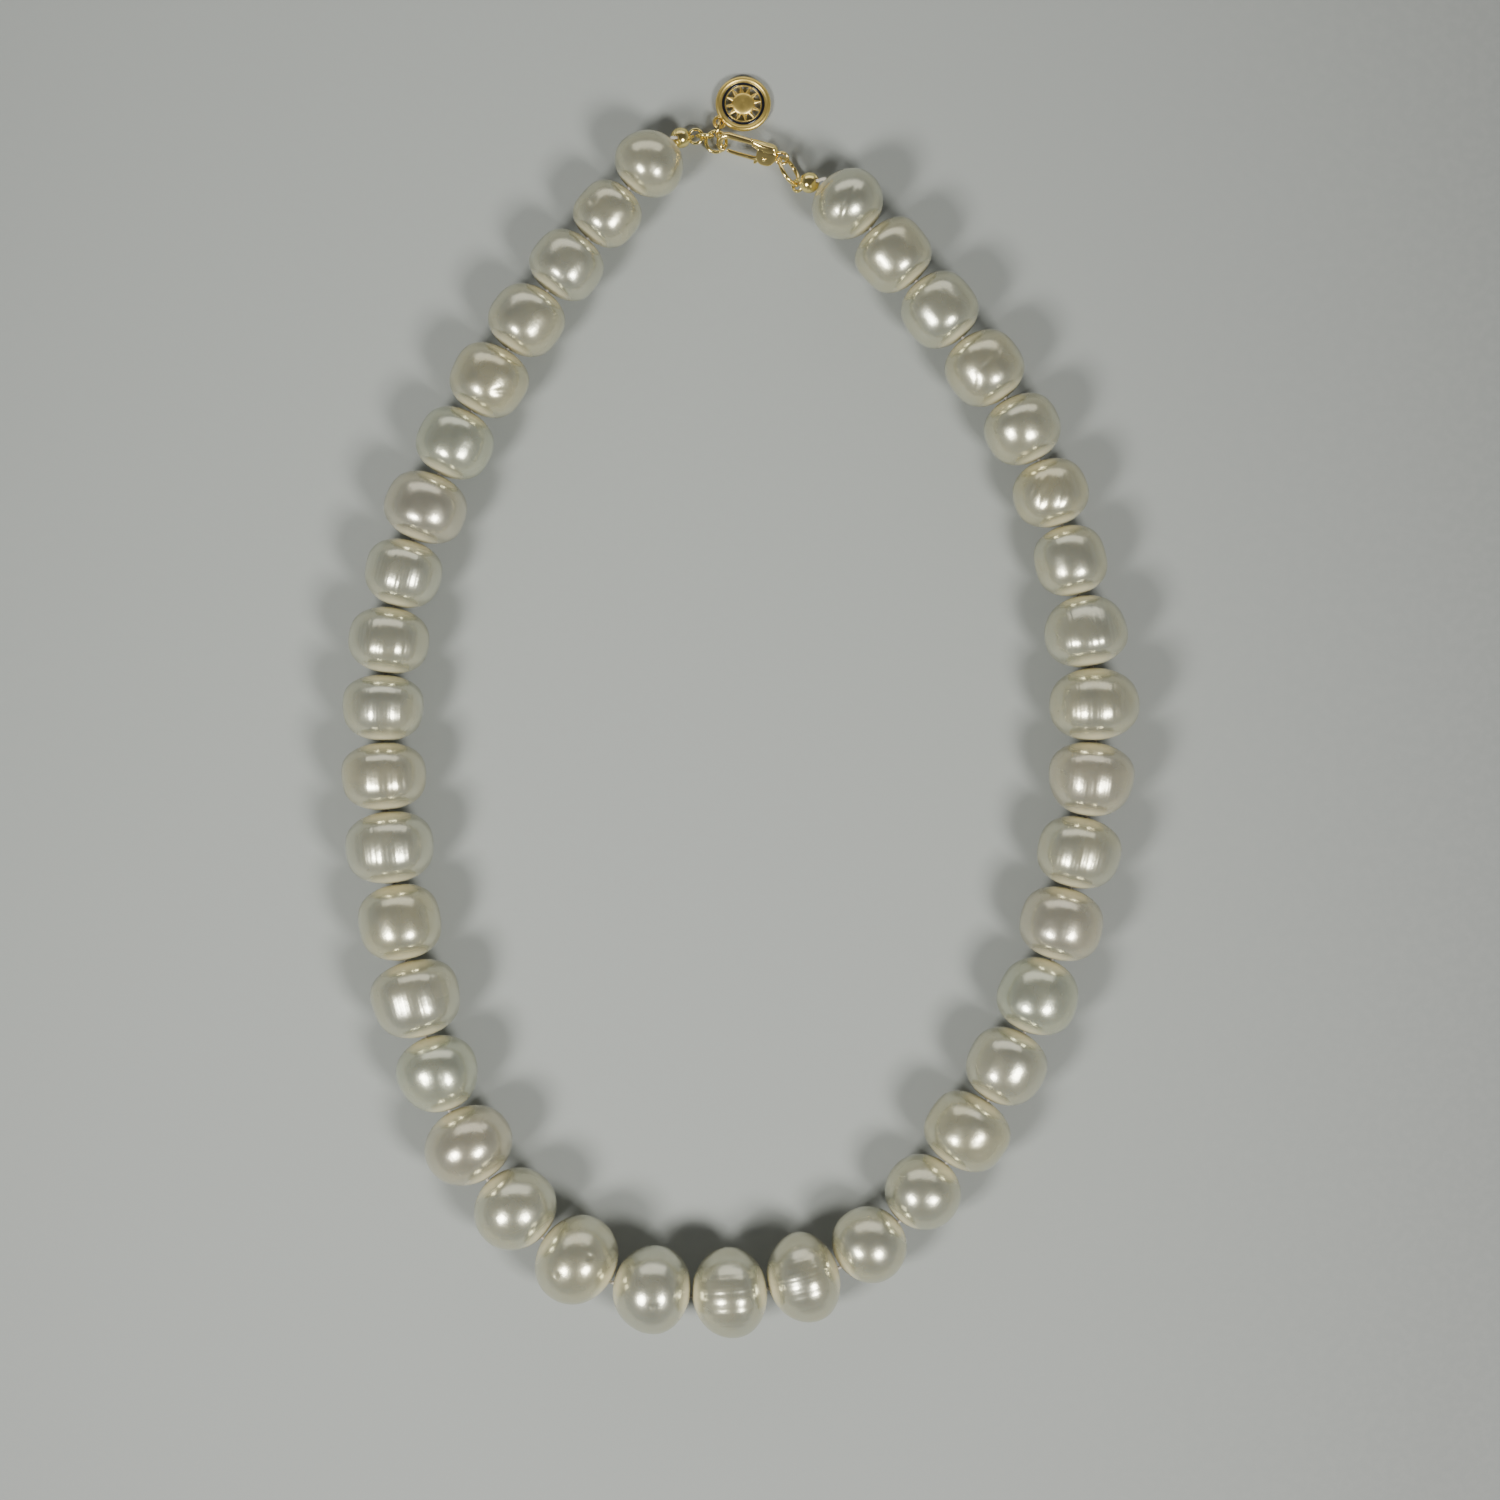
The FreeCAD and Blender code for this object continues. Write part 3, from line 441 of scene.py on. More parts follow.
PEARLS = [Pearl(number) for number in range(1, PEARL_COUNT + 1)]
for pearl in PEARLS:
    pearl_piece(pearl)
print(len(PEARLS), "pearls,", round(min(p.half_width for p in PEARLS) * 2 / MM, 2), "to",
      round(max(p.half_width for p in PEARLS) * 2 / MM, 2), "mm across")

# %% [markdown]
# ## Thread
# The silk shows only in the gaps between pearls. It is a twisted cord of three plies, cut at every hinge:
# each length rides with its pearl and has round ends centred on the hinges, so the lengths stay joined as
# the strand bends. One long cord would have to stretch at every pose.

# %% Thread lengths
def silk_finish():
    g = Graph("silk", Roughness=0.62, Sheen_Weight=0.3)
    fibres = g.noise(9000.0, 2.0)
    g.set(Base_Color=g.mix(fibres, (0.62, 0.56, 0.45), (0.84, 0.8, 0.72)), Normal=g.bump(fibres, 0.00003))
    return g.material


silk = silk_finish()
THREAD = 0.225 * MM                # half the thread's thickness
TWIST = 0.55 * MM                  # the plies turn once in 2 pi of these


def thread_piece(name, start, end, body):
    """Radius r(1 + 0.09 cos(3(u - k v))): three plies with a twist, and a half ball at each end."""
    reach = np.linalg.norm(end - start)
    turn = np.linspace(-np.pi / 2, 0, 7)
    ends = np.stack([THREAD * np.sin(turn), np.cos(turn)], axis=1)
    middle = np.linspace(0, reach, max(8, int(reach / (0.12 * MM))))[1:-1]
    along = np.concatenate([ends[:, 0], middle, reach - ends[::-1, 0]])
    full = np.concatenate([ends[:, 1], np.ones(len(middle)), ends[::-1, 1]])
    angle = np.linspace(0, 2 * np.pi, 18, endpoint=False)
    plies = 1 + 0.09 * np.cos(3 * (angle[None] - along[:, None] / TWIST))
    radius = THREAD * np.maximum(full, 0.02)[:, None] * plies
    axis = unit(end - start)
    side = unit(np.cross((0, 0, 1), axis))
    up = np.cross(axis, side)
    grid = (start + along[:, None, None] * axis + radius[..., None]
            * (np.cos(angle)[None, :, None] * side + np.sin(angle)[None, :, None] * up))
    obj = skin(name, grid, caps=(True, True))
    return finish_piece(obj, body, silk, "thread_silk")


for pearl in PEARLS:
    piece = thread_piece("Thread_%02d" % pearl.number, HINGES[pearl.number - 1], HINGES[pearl.number],
                         BODY_OF[pearl.node])
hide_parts("thread")
print(len(PEARLS), "lengths of thread")

# %% [markdown]
# ## Gold
# The balls and rings are polished yellow gold with fine wear scratches, and a darker film in the places
# that a cloth misses. The charm is a softer, brushed gold. One formula with three sets of values keeps the
# three golds related.

# %% Gold finishes
def gold_finish(name, base, shade, roughness, grain):
    """Metal of colour base, shade where the film lies; grain is the depth of the scratches in metres."""
    g = Graph(name, Metallic=1.0)
    smudge = g.noise(900.0, 3.0)
    scratch = g.noise(1.0, 2.0, vector=g.stretched((1500.0, 15000.0, 5000.0)))
    film = g.noise(420.0, 4.0).ramp(0.5, 0.75)
    g.set(Base_Color=g.mix(film * 0.4, base, shade), Roughness=roughness + 0.12 * smudge + 0.14 * film,
          Normal=g.bump(scratch + 0.5 * smudge, grain))
    return g.material


polished_gold = gold_finish("polished_gold", (1.0, 0.83, 0.33), (0.62, 0.45, 0.12), 0.09, 0.0000025)
warm_gold = gold_finish("warm_gold", (0.98, 0.77, 0.30), (0.50, 0.34, 0.10), 0.08, 0.0000025)
satin_gold = gold_finish("satin_gold", (0.88, 0.66, 0.20), (0.50, 0.35, 0.09), 0.30, 0.000003)


def enamel_finish():
    g = Graph("navy_enamel", IOR=1.52, Coat_Weight=0.6, Coat_Roughness=0.04)
    swirl = g.noise(1800.0, 2.0)
    g.set(Base_Color=g.mix(swirl, (0.004, 0.004, 0.006), (0.010, 0.011, 0.018)), Roughness=0.12 + 0.1 * swirl,
          Normal=g.bump(g.noise(2600.0, 2.0), 0.000012))
    return g.material


def steel_finish():
    g = Graph("spring_steel", Metallic=1.0)
    drawn = g.noise(6000.0, 2.0)
    g.set(Base_Color=g.mix(drawn, (0.42, 0.42, 0.43), (0.6, 0.6, 0.61)), Roughness=0.25 + 0.15 * drawn)
    return g.material


navy_enamel, spring_steel = enamel_finish(), steel_finish()
print("gold, enamel and steel ready")

# %% [markdown]
# ## Rings
# Every ring is a length of round wire bent to a circle and closed butt to butt: the tiny gap and the
# slightly burred ends of the wire show where it was opened. A circle fitted to the CAD node gives the
# place, the lie and the size, so a changed ring still fits; a torus primitive would have no joint in it.

# %% Jump rings
def fitted_ring(points):
    """(centre, normal, mean radius, wire radius) of the torus that the points lie on."""
    middle = points.mean(axis=0)
    _, _, axes = np.linalg.svd(points - middle, full_matrices=False)
    across, along, normal = axes
    flat = np.stack([(points - middle) @ across, (points - middle) @ along], axis=1)
    system = np.column_stack([2 * flat, np.ones(len(flat))])
    # inner and outer edges of a torus share one centre: fit the outermost points
    far = np.linalg.norm(flat, axis=1)
    outer = far > np.quantile(far, 0.8)
    solved = np.linalg.lstsq(system[outer], (flat[outer] ** 2).sum(axis=1), rcond=None)[0]
    centre = middle + solved[0] * across + solved[1] * along
    wire = np.abs((points - centre) @ normal).max()
    far = np.linalg.norm(np.cross(points - centre, normal), axis=1)
    return centre, unit(normal), (far.max() + far.min()) / 2, wire


def ring_piece(name, node, material, slit_degrees):
    centre, normal, mean, wire = fitted_ring(points_of(node))
    rng = np.random.default_rng(len(node) * 17)
    side = unit(np.cross(normal, (0.31, 0.2, 0.93)))
    ahead = np.cross(normal, side)
    gap = 0.03 * MM / mean
    turn = np.linspace(gap, 2 * np.pi - gap, 150) + math.radians(slit_degrees)
    # wire that was bent with pliers isn't a perfect circle
    uneven = 1 + 0.012 * np.cos(2 * turn + rng.uniform(0, 6)) + 0.006 * np.cos(3 * turn + rng.uniform(0, 6))
    path = centre + (mean * uneven)[:, None] * (np.cos(turn)[:, None] * side + np.sin(turn)[:, None] * ahead)
    radius = np.full(len(turn), wire)
    radius[[0, -1]] *= 0.86
    obj = tube(name, path, radius, 28, side_axis=normal)
    return finish_piece(obj, BODY_OF[node], material, "yellow_gold", node)


ring_piece("Link_near_tip", "link_near_tip", polished_gold, 200)
ring_piece("Link_near_ring", "link_near_ring", polished_gold, 120)
ring_piece("End_ring", "end_ring", polished_gold, 310)
ring_piece("Charm_ring", "charm_ring", warm_gold, 20)
ring_piece("Clasp_ring", "clasp_ring", warm_gold, 75)
print("5 rings")

# %% [markdown]
# ## Thread covers
# A thread cover is two little cups, hinged at the thread's hole and shut round the crimp, with a loop that
# hooks the next ring. The seam between the cups runs round the ball in the plane of the loop. The ball is
# one turned shell with the seam as a groove, because two loose cups would show the same line and leave a
# gap at the hole.

# %% Clamshell covers
def sphere_fit(points):
    """(centre, radius) of the sphere nearest to the points."""
    system = np.column_stack([2 * points, np.ones(len(points))])
    solved = np.linalg.lstsq(system, (points ** 2).sum(axis=1), rcond=None)[0]
    return solved[:3], math.sqrt(solved[3] + (solved[:3] ** 2).sum())


BALL, MOUTH, WALL, SEAM = 1.45 * MM, 0.375 * MM, 0.28 * MM, 0.07 * MM


def cover_piece(side_name, mouth, body):
    """The ball, its loop and the silk's last length.  BALL is only a first guess: the radius is fitted."""
    node = side_name + "_tip"
    points = points_of(node)
    crimp = points_of(side_name + "_crimp").mean(axis=0)
    axis = unit(crimp - mouth)
    along = (points - mouth) @ axis
    # the ball holds the points near the mouth; the loop is beyond it
    ball_middle = mouth + axis * (along.min() + BALL)
    near = np.linalg.norm(points - ball_middle, axis=1)
    centre, radius = sphere_fit(points[np.abs(near - BALL) < 0.05 * MM])
    eye = points[near > BALL * 1.12]
    side = unit(np.cross(axis, (0, 0, 1)))
    up = np.cross(axis, side)
    cols, rows = 96, 64
    polar = np.linspace(math.asin(MOUTH / radius), np.pi, rows)
    inside = np.linspace(np.pi, math.asin(MOUTH / (radius - WALL)), 24)
    polar_all = np.concatenate([polar, inside])
    shell = np.concatenate([np.full(rows, radius), np.full(len(inside), radius - WALL)])
    angle = np.linspace(0, 2 * np.pi, cols, endpoint=False)
    # the seam: a groove round the ball where the two cups meet, on both sides
    off_seam = np.abs(np.sin(angle))[None] * np.sin(polar_all)[:, None]
    groove = SEAM * np.exp(-(off_seam / 0.045) ** 2)
    groove[rows:] = 0
    far = shell[:, None] - groove
    out = far * np.sin(polar_all)[:, None]
    out[rows - 1:rows + 1] = 0.004 * MM
    grid = (centre - (far * np.cos(polar_all)[:, None])[..., None] * axis
            + out[..., None] * (np.cos(angle)[None, :, None] * side + np.sin(angle)[None, :, None] * up))
    ball = skin(side_name.capitalize() + "_cover", grid, close_v=True)
    finish_piece(ball, body, polished_gold, "yellow_gold", node)
    # the loop: round wire whose two ends spread and sink into the cups
    loop_centre, normal, mean, wire = fitted_ring(eye)
    toward = unit(centre - loop_centre)
    toward = unit(toward - normal * (toward @ normal))
    across = np.cross(normal, toward)
    turn = np.linspace(math.radians(12), math.radians(348), 90)
    path = loop_centre + mean * (np.cos(turn)[:, None] * toward + np.sin(turn)[:, None] * across)
    loop = tube(side_name.capitalize() + "_loop", path, wire, 24, side_axis=normal)
    finish_piece(loop, body, polished_gold, "yellow_gold")
    # the silk's last length, from the pearl into the cover
    thread_piece("Thread_" + side_name, mouth, crimp, body)
    print(node, "ball", round(radius * 2 / MM, 2), "mm, loop", round(mean * 2 / MM, 2), "mm")


cover_piece("left", HINGES[0], BODY_OF["left_tip"])
cover_piece("right", HINGES[-1], BODY_OF["right_tip"])
for side_name in ("left", "right"):
    crimp = NODES[side_name + "_crimp"]
    crimp.data.materials.clear()
    crimp.data.materials.append(warm_gold)

# %% [markdown]
# ## Clasp
# A cast lobster clasp: a round bar that runs from a block round the hook to a ball nose, two cheeks on the
# block with the lever's hub between them on a rivet, and a flat eye behind. It is drawn in its own frame,
# as on the CAD side: X from the eye to the hook, Y towards its back, Z through its thickness, in mm. World
# coordinates would work too, but the clasp lies askew, and its sizes can't be read from them.

# %% Clasp's own frame
class Local:
    """A frame with an origin and three axes, whose points are given in mm."""

    def __init__(self, origin, x, z):
        self.origin, self.x, self.z = np.asarray(origin, float), unit(x), unit(z)
        self.y = np.cross(self.z, self.x)

    def out(self, points):
        points = np.asarray(points, float)
        x, y, z = points[..., :1], points[..., 1:2], points[..., 2:3]
        return self.origin + MM * (x * self.x + y * self.y + z * self.z)

    def inside(self, points):
        rel = (points - self.origin) / MM
        return np.stack([rel @ self.x, rel @ self.y, rel @ self.z], axis=-1)


PIN_AT = (2.35, -0.62)             # the rivet in the clasp's own frame, whose origin is the middle of the eye


def clasp_frame():
    """X square to the lever's axis and level, towards the body's middle as seen from the eye; Z along that
    axis."""
    pin = points_of("clasp_pin")
    pin = (pin.min(axis=0) + pin.max(axis=0)) / 2
    thick = np.array(JOINTS["clasp_lever_hinge"]["axis"], float)
    lengthwise = np.cross((0, 0, 1), thick)
    if (points_of("clasp_body").mean(axis=0) - hinge("clasp_swing")) @ lengthwise < 0:
        lengthwise = -lengthwise
    at_pin = Local(pin, lengthwise, thick)
    return Local(at_pin.out(np.array([-PIN_AT[0], -PIN_AT[1], 0.0])), lengthwise, thick)


clasp = clasp_frame()
clasp_box = clasp.inside(points_of("clasp_body"))
RAIL, RAIL_Y = 0.45, 1.2           # half thickness of the bar, and its distance from the middle line
hook_x = clasp_box[:, 0].max() - RAIL - RAIL_Y
print("clasp from", clasp_box.min(axis=0).round(2), "to", clasp_box.max(axis=0).round(2), "mm")


def smooth_path(corners, count, rounds=3):
    """Points on a curve that cuts the corners (Chaikin's), evenly spaced."""
    path = np.array(corners, float)
    for _ in range(rounds):
        nearer = path[:-1] * 0.75 + path[1:] * 0.25
        farther = path[:-1] * 0.25 + path[1:] * 0.75
        cut = np.stack([nearer, farther], axis=1).reshape(-1, path.shape[1])
        path = np.concatenate([path[:1], cut, path[-1:]])
    steps = np.concatenate([[0], np.cumsum(np.linalg.norm(np.diff(path, axis=0), axis=1))])
    at = np.linspace(0, steps[-1], count)
    return np.stack([np.interp(at, steps, path[:, k]) for k in range(path.shape[1])], axis=1)


def rounded_ends(count, first, last):
    """1 along a bar, falling to almost 0 like a ball over a share first and last of its ends."""
    def ball_end(along, share):
        if not share:
            return np.ones(count)
        return np.sqrt(np.clip(1 - np.clip(1 - along / share, 0, 1) ** 2, 0, 1))

    t = np.linspace(0, 1, count)
    return np.maximum(np.minimum(ball_end(t, first), ball_end(1 - t, last)), 0.02)


# %% [markdown]
# The body is one casting on the real clasp. Here the hook, the block, two cheeks and the eye are closed
# pieces that sink into each other: each keeps a plain formula, and the joints read as the creases of a
# small casting.

# %% Hook, nose, block and eye
def slab(name, stations, power=3.5):
    """A loft along X.  stations: (x, middle y, half y, middle z, half z); each section is a rounded rectangle
    |y|^n + |z|^n = 1."""
    stations = smooth_path(stations, 60, rounds=2)
    t = np.linspace(0, 2 * np.pi, 40, endpoint=False)
    wide = np.sign(np.cos(t)) * np.abs(np.cos(t)) ** (2 / power)
    high = np.sign(np.sin(t)) * np.abs(np.sin(t)) ** (2 / power)
    x, my, hy, mz, hz = (stations[:, k][:, None] for k in range(5))
    ends = rounded_ends(len(stations), 0.06, 0.06)[:, None]
    grid = np.stack([x + 0 * wide, my + hy * ends * wide[None], mz + hz * ends * high[None]], axis=-1)
    return skin(name, clasp.out(grid), caps=(True, True))


turned = np.radians(np.linspace(90, -83, 46))      # the last 21 degrees are the round nose
bar = [(1.9, RAIL_Y - 0.15, 0), (3.0, RAIL_Y, 0), (4.4, RAIL_Y, 0), (hook_x - 0.5, RAIL_Y, 0)]
bend = np.stack([hook_x + RAIL_Y * np.cos(turned), RAIL_Y * np.sin(turned), 0 * turned], axis=1)
bar_path = smooth_path(np.concatenate([bar, bend]), 150, rounds=1)
share = np.linspace(0, 1, len(bar_path))
# thicker at the nose and at the top of the bend, thinner halfway along
bar_shape = 1 + 0.16 * np.exp(-((share - 0.955) / 0.035) ** 2) + 0.05 * np.exp(-((share - 0.62) / 0.1) ** 2)
bar_shape = bar_shape - 0.10 * np.exp(-((share - 0.3) / 0.12) ** 2)
bar_radius = RAIL * bar_shape * rounded_ends(len(bar_path), 0.02, 0.05)
hook = tube("Clasp_hook", clasp.out(bar_path), bar_radius * MM, 36, side_axis=clasp.z)
finish_piece(hook, BODY_OF["clasp_body"], warm_gold, "yellow_gold", "clasp_body")

CHEEK, SLOT = 0.75, 0.39           # half thickness of the block, and of the slot that the lever turns in
EYE_MIDDLE, EYE_WIDE, EYE_HIGH = 0.9, 0.2, 0.3
back = slab("Clasp_block", [(0.5, 0.1, 0.5, 0, 0.3), (1.0, 0.6, 0.75, 0, 0.6), (1.6, 0.88, 0.7, 0, CHEEK),
                            (3.0, 0.9, 0.66, 0, CHEEK), (3.9, 1.05, 0.56, 0, 0.6), (4.6, 1.2, 0.43, 0, 0.43)])
finish_piece(back, BODY_OF["clasp_body"], warm_gold, "yellow_gold")
for word, way in (("front", 1), ("rear", -1)):
    middle, half = way * (CHEEK + SLOT) / 2, (CHEEK - SLOT) / 2
    cheek = slab("Clasp_cheek_" + word,
                 [(0.75, 0.0, 0.55, middle * 0.7, half), (1.3, -0.35, 1.1, middle, half),
                  (2.2, -0.45, 1.2, middle, half), (3.0, -0.35, 1.15, middle, half),
                  (3.6, 0.1, 0.75, middle, half)],
                 power=4)
    finish_piece(cheek, BODY_OF["clasp_body"], warm_gold, "yellow_gold")
round_eye = np.linspace(0, 2 * np.pi, 72, endpoint=False)[:, None]
section = np.linspace(0, 2 * np.pi, 20, endpoint=False)[None, :]
eye_out = EYE_MIDDLE + EYE_WIDE * np.cos(section)
eye_grid = np.stack([eye_out * np.cos(round_eye), eye_out * np.sin(round_eye),
                     EYE_HIGH * np.sin(section) * np.ones_like(round_eye)], axis=-1)
eye = skin("Clasp_eye", clasp.out(eye_grid)[:, ::-1], close_u=True, close_v=True)
finish_piece(eye, BODY_OF["clasp_body"], warm_gold, "yellow_gold")
nub_path = np.stack([np.full(16, 4.7), np.linspace(1.3, 1.74, 16), np.zeros(16)], axis=1)
nub = tube("Clasp_nub", clasp.out(nub_path), 0.26 * MM * rounded_ends(16, 0.0, 0.6), 20)
finish_piece(nub, BODY_OF["clasp_body"], warm_gold, "yellow_gold")

# %% [markdown]
# The rivet has a low dome on each side of the block. The lever is a flat bar with a hub on the rivet, a
# thumb piece that stands out from its edge, and a rounded end that meets the nose. It rides on its own
# body, so it opens. The hairpin spring behind its hub stays the CAD solid, in steel, because it lies inside
# the slot.

# %% Rivet and lever
pin_x, pin_y = PIN_AT
dome = smooth_path([(-0.92, 0.0), (-0.9, 0.16), (-0.84, 0.28), (-0.76, 0.33), (-0.7, 0.25), (0.7, 0.25),
                    (0.76, 0.33), (0.84, 0.28), (0.9, 0.16), (0.92, 0.0)], 40, rounds=2)
dome_radius = np.maximum(dome[:, 1], 0.004)[:, None]
angle = np.linspace(0, 2 * np.pi, 32, endpoint=False)
rivet_grid = np.stack([pin_x + dome_radius * np.cos(angle), pin_y + dome_radius * np.sin(angle),
                       dome[:, :1] + 0 * angle[None]], axis=-1)
rivet = skin("Clasp_rivet", clasp.out(rivet_grid), caps=(True, True))
finish_piece(rivet, BODY_OF["clasp_pin"], warm_gold, "yellow_gold", "clasp_pin")

tip_x = clasp.inside(points_of("clasp_lever"))[:, 0].max()
LEVER = 0.31                       # half thickness of the lever
arm = [(pin_x - 0.1, pin_y + 0.05, 0), (pin_x + 0.3, pin_y - 0.15, 0), (pin_x + 1.0, -RAIL_Y + 0.02, 0),
       (pin_x + 2.2, -RAIL_Y, 0), (tip_x - 1.2, -RAIL_Y, 0), (tip_x, -RAIL_Y + 0.12, 0)]
arm_path = smooth_path(arm, 90)
share = np.linspace(0, 1, 90)
arm_half = (0.36 + 0.14 * np.exp(-(share / 0.12) ** 2) - 0.08 * share) * rounded_ends(90, 0.06, 0.05)
lever = tube("Clasp_lever", clasp.out(arm_path), arm_half * MM, 32,
             flatten=LEVER * MM * rounded_ends(90, 0.06, 0.05), side_axis=clasp.z)
finish_piece(lever, BODY_OF["clasp_lever"], warm_gold, "yellow_gold", "clasp_lever")
tab = smooth_path([(pin_x + 0.95, -RAIL_Y + 0.1, 0), (pin_x + 1.1, -RAIL_Y - 0.45, 0),
                   (pin_x + 1.3, -RAIL_Y - 0.8, 0)], 30)
thumb_half = (0.3 - 0.08 * np.linspace(0, 1, 30)) * MM * rounded_ends(30, 0, 0.3)
thumb = tube("Clasp_thumb", clasp.out(tab), thumb_half, 24, flatten=0.29 * MM * rounded_ends(30, 0, 0.3),
             side_axis=clasp.z)
finish_piece(thumb, BODY_OF["clasp_lever"], warm_gold, "yellow_gold")
NODES["clasp_spring"].data.materials.clear()
NODES["clasp_spring"].data.materials.append(spring_steel)
print("clasp: hook, block, cheeks, eye, nub, rivet, lever and thumb piece")

# %% [markdown]
# ## Charm
# A small round frame with a thick rounded rim, a band of dark enamel let into it and an openwork sun in its
# window. The sun is a plain stand-in for the device on the real charm. The charm hangs askew on its ring,
# so it has a frame of its own too: X from its middle to the lug, Z out of its face.

# %% Charm's own frame
def charm_local():
    centre, normal = fitted_ring(points_of("charm_enamel"))[:2]
    body = points_of("charm_frame")
    if normal[2] < 0:
        normal = -normal
    far = body[np.argmax(np.linalg.norm(body - centre, axis=1))]
    lug = far - centre
    lug -= normal * (lug @ normal)
    # the frame's middle plane, halfway between its two faces
    heights = (body - centre) @ normal
    centre = centre + normal * (heights.max() + heights.min()) / 2
    return Local(centre, lug, normal)


charm = charm_local()


def turned_grid(path, count):
    """path (radius, height) in mm, turned about the charm's Z."""
    t = np.linspace(0, 2 * np.pi, count, endpoint=False)
    return np.stack([path[:, :1] * np.cos(t), path[:, :1] * np.sin(t), path[:, 1:] + 0 * t[None]], axis=-1)


def turned_piece(name, profile):
    """A ring whose section is the closed profile."""
    path = smooth_path(list(profile) + [profile[0]], len(profile) * 8, rounds=1)[:-1]
    return skin(name, charm.out(turned_grid(path, 160)), close_v=True)


print("charm's middle", (charm.origin / MM).round(2), "mm")


# %% [markdown]
# The frame is one profile turned about the charm's axis, as it could be spun or cast: plate, trough and
# rounded rim. The enamel fills the trough and stands a hair's breadth proud, as fired enamel does. The
# sun's rays end in the plate.

# %% Frame, enamel and sun
RIM, BEAD, PLATE, WINDOW = 3.5, 0.4, 0.3, 2.45      # mm: rim's radius, half rim, half plate, window
TROUGH, FLOOR = (2.65, 3.0), 0.1                    # mm: the trough's two walls and its floor's height
RAYS = 12
LUG_OUT, LUG_MEAN, LUG_WIRE = 0.35, 0.75, 0.235     # mm: beyond the rim, mean radius, half wire
arc = np.radians(np.linspace(138, -138, 24))
rim_arc = [(RIM + BEAD * math.cos(a), BEAD * math.sin(a)) for a in arc]
profile = [(WINDOW, -PLATE), (WINDOW, PLATE - 0.03), (WINDOW + 0.05, PLATE), (TROUGH[0] - 0.02, PLATE),
           (TROUGH[0], FLOOR), (TROUGH[1], FLOOR), (TROUGH[1] + 0.02, PLATE)] + rim_arc
band = turned_piece("Charm_band", profile[::-1])
finish_piece(band, BODY_OF["charm_frame"], satin_gold, "satin_gold", "charm_frame")
enamel = turned_piece("Charm_enamel", [
    (TROUGH[1] - 0.01, FLOOR), (TROUGH[1] - 0.01, PLATE - 0.05), (2.93, PLATE - 0.01), (2.83, PLATE + 0.005),
    (2.72, PLATE - 0.01), (TROUGH[0] + 0.01, PLATE - 0.05), (TROUGH[0] + 0.01, FLOOR)])
finish_piece(enamel, BODY_OF["charm_enamel"], navy_enamel, "navy_enamel", "charm_enamel")

hub_path = smooth_path([(0.004, -0.42), (1.1, -0.38), (1.58, -0.24), (1.65, 0.0), (1.58, 0.24), (1.1, 0.4),
                        (0.004, 0.46)], 40)
hub = skin("Charm_sun", charm.out(turned_grid(hub_path, 72)), caps=(True, True))
finish_piece(hub, BODY_OF["charm_frame"], satin_gold, "satin_gold")
for k in range(RAYS):
    turn = 2 * np.pi * k / RAYS
    reach = np.linspace(1.45, WINDOW + 0.06, 24)
    ray_path = np.stack([reach * math.cos(turn), reach * math.sin(turn), 0 * reach], axis=1)
    ray = tube("Charm_ray_%02d" % (k + 1), charm.out(ray_path), np.linspace(0.34, 0.12, 24) * MM, 16,
               flatten=np.linspace(0.25, 0.2, 24) * MM, side_axis=charm.z)
    finish_piece(ray, BODY_OF["charm_frame"], satin_gold, "satin_gold")
lug_centre = charm.out([RIM + BEAD + LUG_OUT, 0.0, 0.0])
lug_turn = np.linspace(0, 2 * np.pi, 90)[:, None]
lug_path = lug_centre + LUG_MEAN * MM * (np.cos(lug_turn) * charm.x + np.sin(lug_turn) * charm.y)
lug = tube("Charm_lug", lug_path, LUG_WIRE * MM, 20, side_axis=charm.z)
finish_piece(lug, BODY_OF["charm_frame"], satin_gold, "satin_gold")
print("charm: band, enamel, sun with", RAYS, "rays, lug", 2 * LUG_MEAN, "mm")

# %% [markdown]
# ## Table
# A matt, pale grey table that is brightest in the middle. The fall-off is painted light: a small lamp close
# by could give it, but that would change the highlights on the pearls, so it is painted into the table's
# tone.

# %% Table
def table_finish():
    g = Graph("table", IOR=1.45)
    fine = g.noise(700.0, 3.0)
    # painted light: the table's colour runs from darker to paler with the lit attribute, a fall-off of the
    # room's light
    tint = g.mix(g.attribute("lit"), (0.212, 0.222, 0.214), (0.330, 0.350, 0.335))
    speckled = g.mix(fine.ramp(0.35, 0.7) * 0.15, tint, (0.32, 0.325, 0.31))
    g.set(Base_Color=speckled, Roughness=0.52 + 0.15 * fine, Normal=g.bump(fine, 0.00002))
    return g.material


REACH = 0.9
steps = REACH * np.sign(np.linspace(-1, 1, 121)) * np.abs(np.linspace(-1, 1, 121)) ** 2
across_table, along_table = np.meshgrid(steps, steps)
table = skin("Table", np.stack([across_table, along_table, 0 * across_table], axis=-1), close_u=False)
# painted light fall-off: darker to the right and, less, to the front and the left; right and back in
# decimetres
right, back = across_table / 0.1, along_table / 0.1
lit = 0.97 - 0.078 * right - 0.159 * right ** 2 + 0.033 * back - 0.03 * back ** 2
DARKEST, SPAN = 0.66, 0.33
attribute(table, "lit", np.clip((lit - DARKEST) / SPAN, 0, 1).ravel())
table.data.materials.append(table_finish())
print("table", 2 * REACH, "m wide")

# %% [markdown]
# ## Light
# Two soft windows left and right, a little towards the front, give every pearl its pair of highlights and
# its pair of soft shadows. A pale wall behind lightens those shadows, and the dim room above is the grey
# disc in each pearl's middle. A sky texture would be simpler, but its one sun can't make twin highlights.

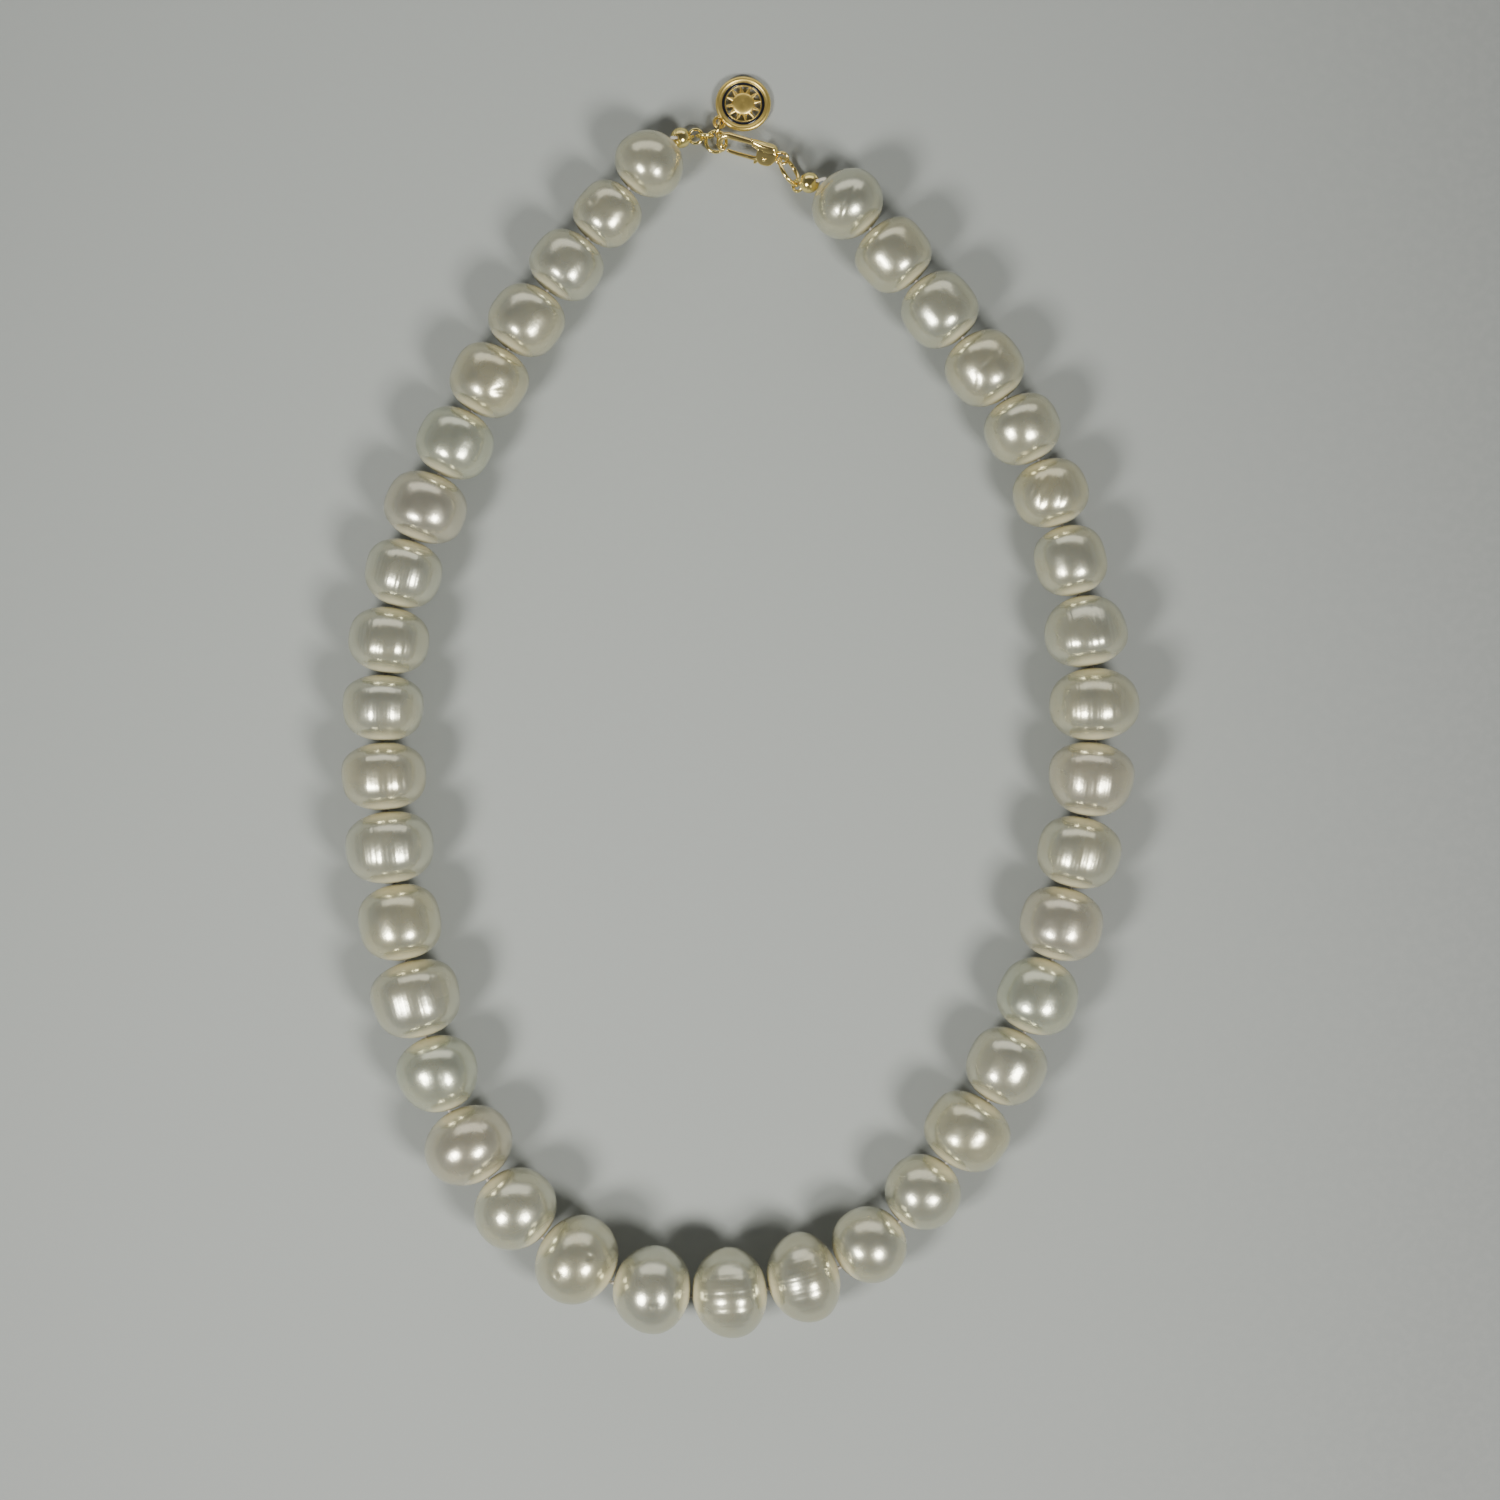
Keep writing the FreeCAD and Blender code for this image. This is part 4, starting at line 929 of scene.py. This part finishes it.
# %% Light
def window(name, place, width, height, watts, colour):
    """A glowing rectangle that faces the middle of the table."""
    light = bpy.data.lights.new(name, "AREA")
    light.shape, light.size, light.size_y = "RECTANGLE", width, height
    light.energy, light.color = watts, colour
    obj = bpy.data.objects.new(name, light)
    obj.location = place
    obj.rotation_mode = "QUATERNION"
    obj.rotation_quaternion = (-Vector(place)).to_track_quat("-Z", "Y")
    bpy.context.scene.collection.objects.link(obj)


PANE, DAYLIGHT, WALL_TINT = 0.19, (1.0, 0.99, 0.95), (1.0, 0.98, 0.94)
window("Window_left", (-0.39, -0.31, 0.56), PANE, PANE, 5.3, DAYLIGHT)
window("Window_right", (0.34, -0.31, 0.56), PANE, PANE, 4.7, DAYLIGHT)
window("Wall_behind", (0.0, 1.5, 0.75), 2.6, 0.9, 9.0, WALL_TINT)

world = bpy.data.worlds.new("Room")
world.use_nodes = True
bpy.context.scene.world = world
tree = world.node_tree
tree.nodes.clear()
coordinates = tree.nodes.new("ShaderNodeTexCoord")
split = tree.nodes.new("ShaderNodeSeparateXYZ")
ramp = tree.nodes.new("ShaderNodeMapRange")
ramp.interpolation_type = "SMOOTHSTEP"
mix = tree.nodes.new("ShaderNodeMix")
mix.data_type = "RGBA"
background = tree.nodes.new("ShaderNodeBackground")
output = tree.nodes.new("ShaderNodeOutputWorld")
ramp.inputs["From Min"].default_value, ramp.inputs["From Max"].default_value = -0.05, 0.7
mix.inputs[6].default_value = (0.42, 0.44, 0.44, 1)            # the room near the floor
mix.inputs[7].default_value = (0.12, 0.12, 0.124, 1)           # and overhead
background.inputs["Strength"].default_value = 0.75
tree.links.new(coordinates.outputs["Generated"], split.inputs[0])
tree.links.new(split.outputs["Z"], ramp.inputs["Value"])
tree.links.new(ramp.outputs["Result"], mix.inputs[0])
tree.links.new(mix.outputs[2], background.inputs["Color"])
tree.links.new(background.outputs[0], output.inputs["Surface"])
print("two windows, a pale wall and a dim room")

# %% [markdown]
# ## Camera
# It looks straight down from far off through a long lens, so that the strand keeps its shape.

# %% Camera
lens = bpy.data.cameras.new("Camera")
lens.lens, lens.sensor_width = 90.0, 36.0
lens.clip_start, lens.clip_end = 0.01, 10.0
camera = bpy.data.objects.new("Camera", lens)
VIEWED, LEVEL = 0.210, 0.005       # width of the view, at the height of the pearls' middles
distance = VIEWED * lens.lens / lens.sensor_width
camera.location = (0.0014, -0.0065, distance + LEVEL)
camera.rotation_euler = (0.0, 0.0, 0.0)
bpy.context.scene.collection.objects.link(camera)
bpy.context.scene.camera = camera
print("camera", round(distance, 3), "m above the table")
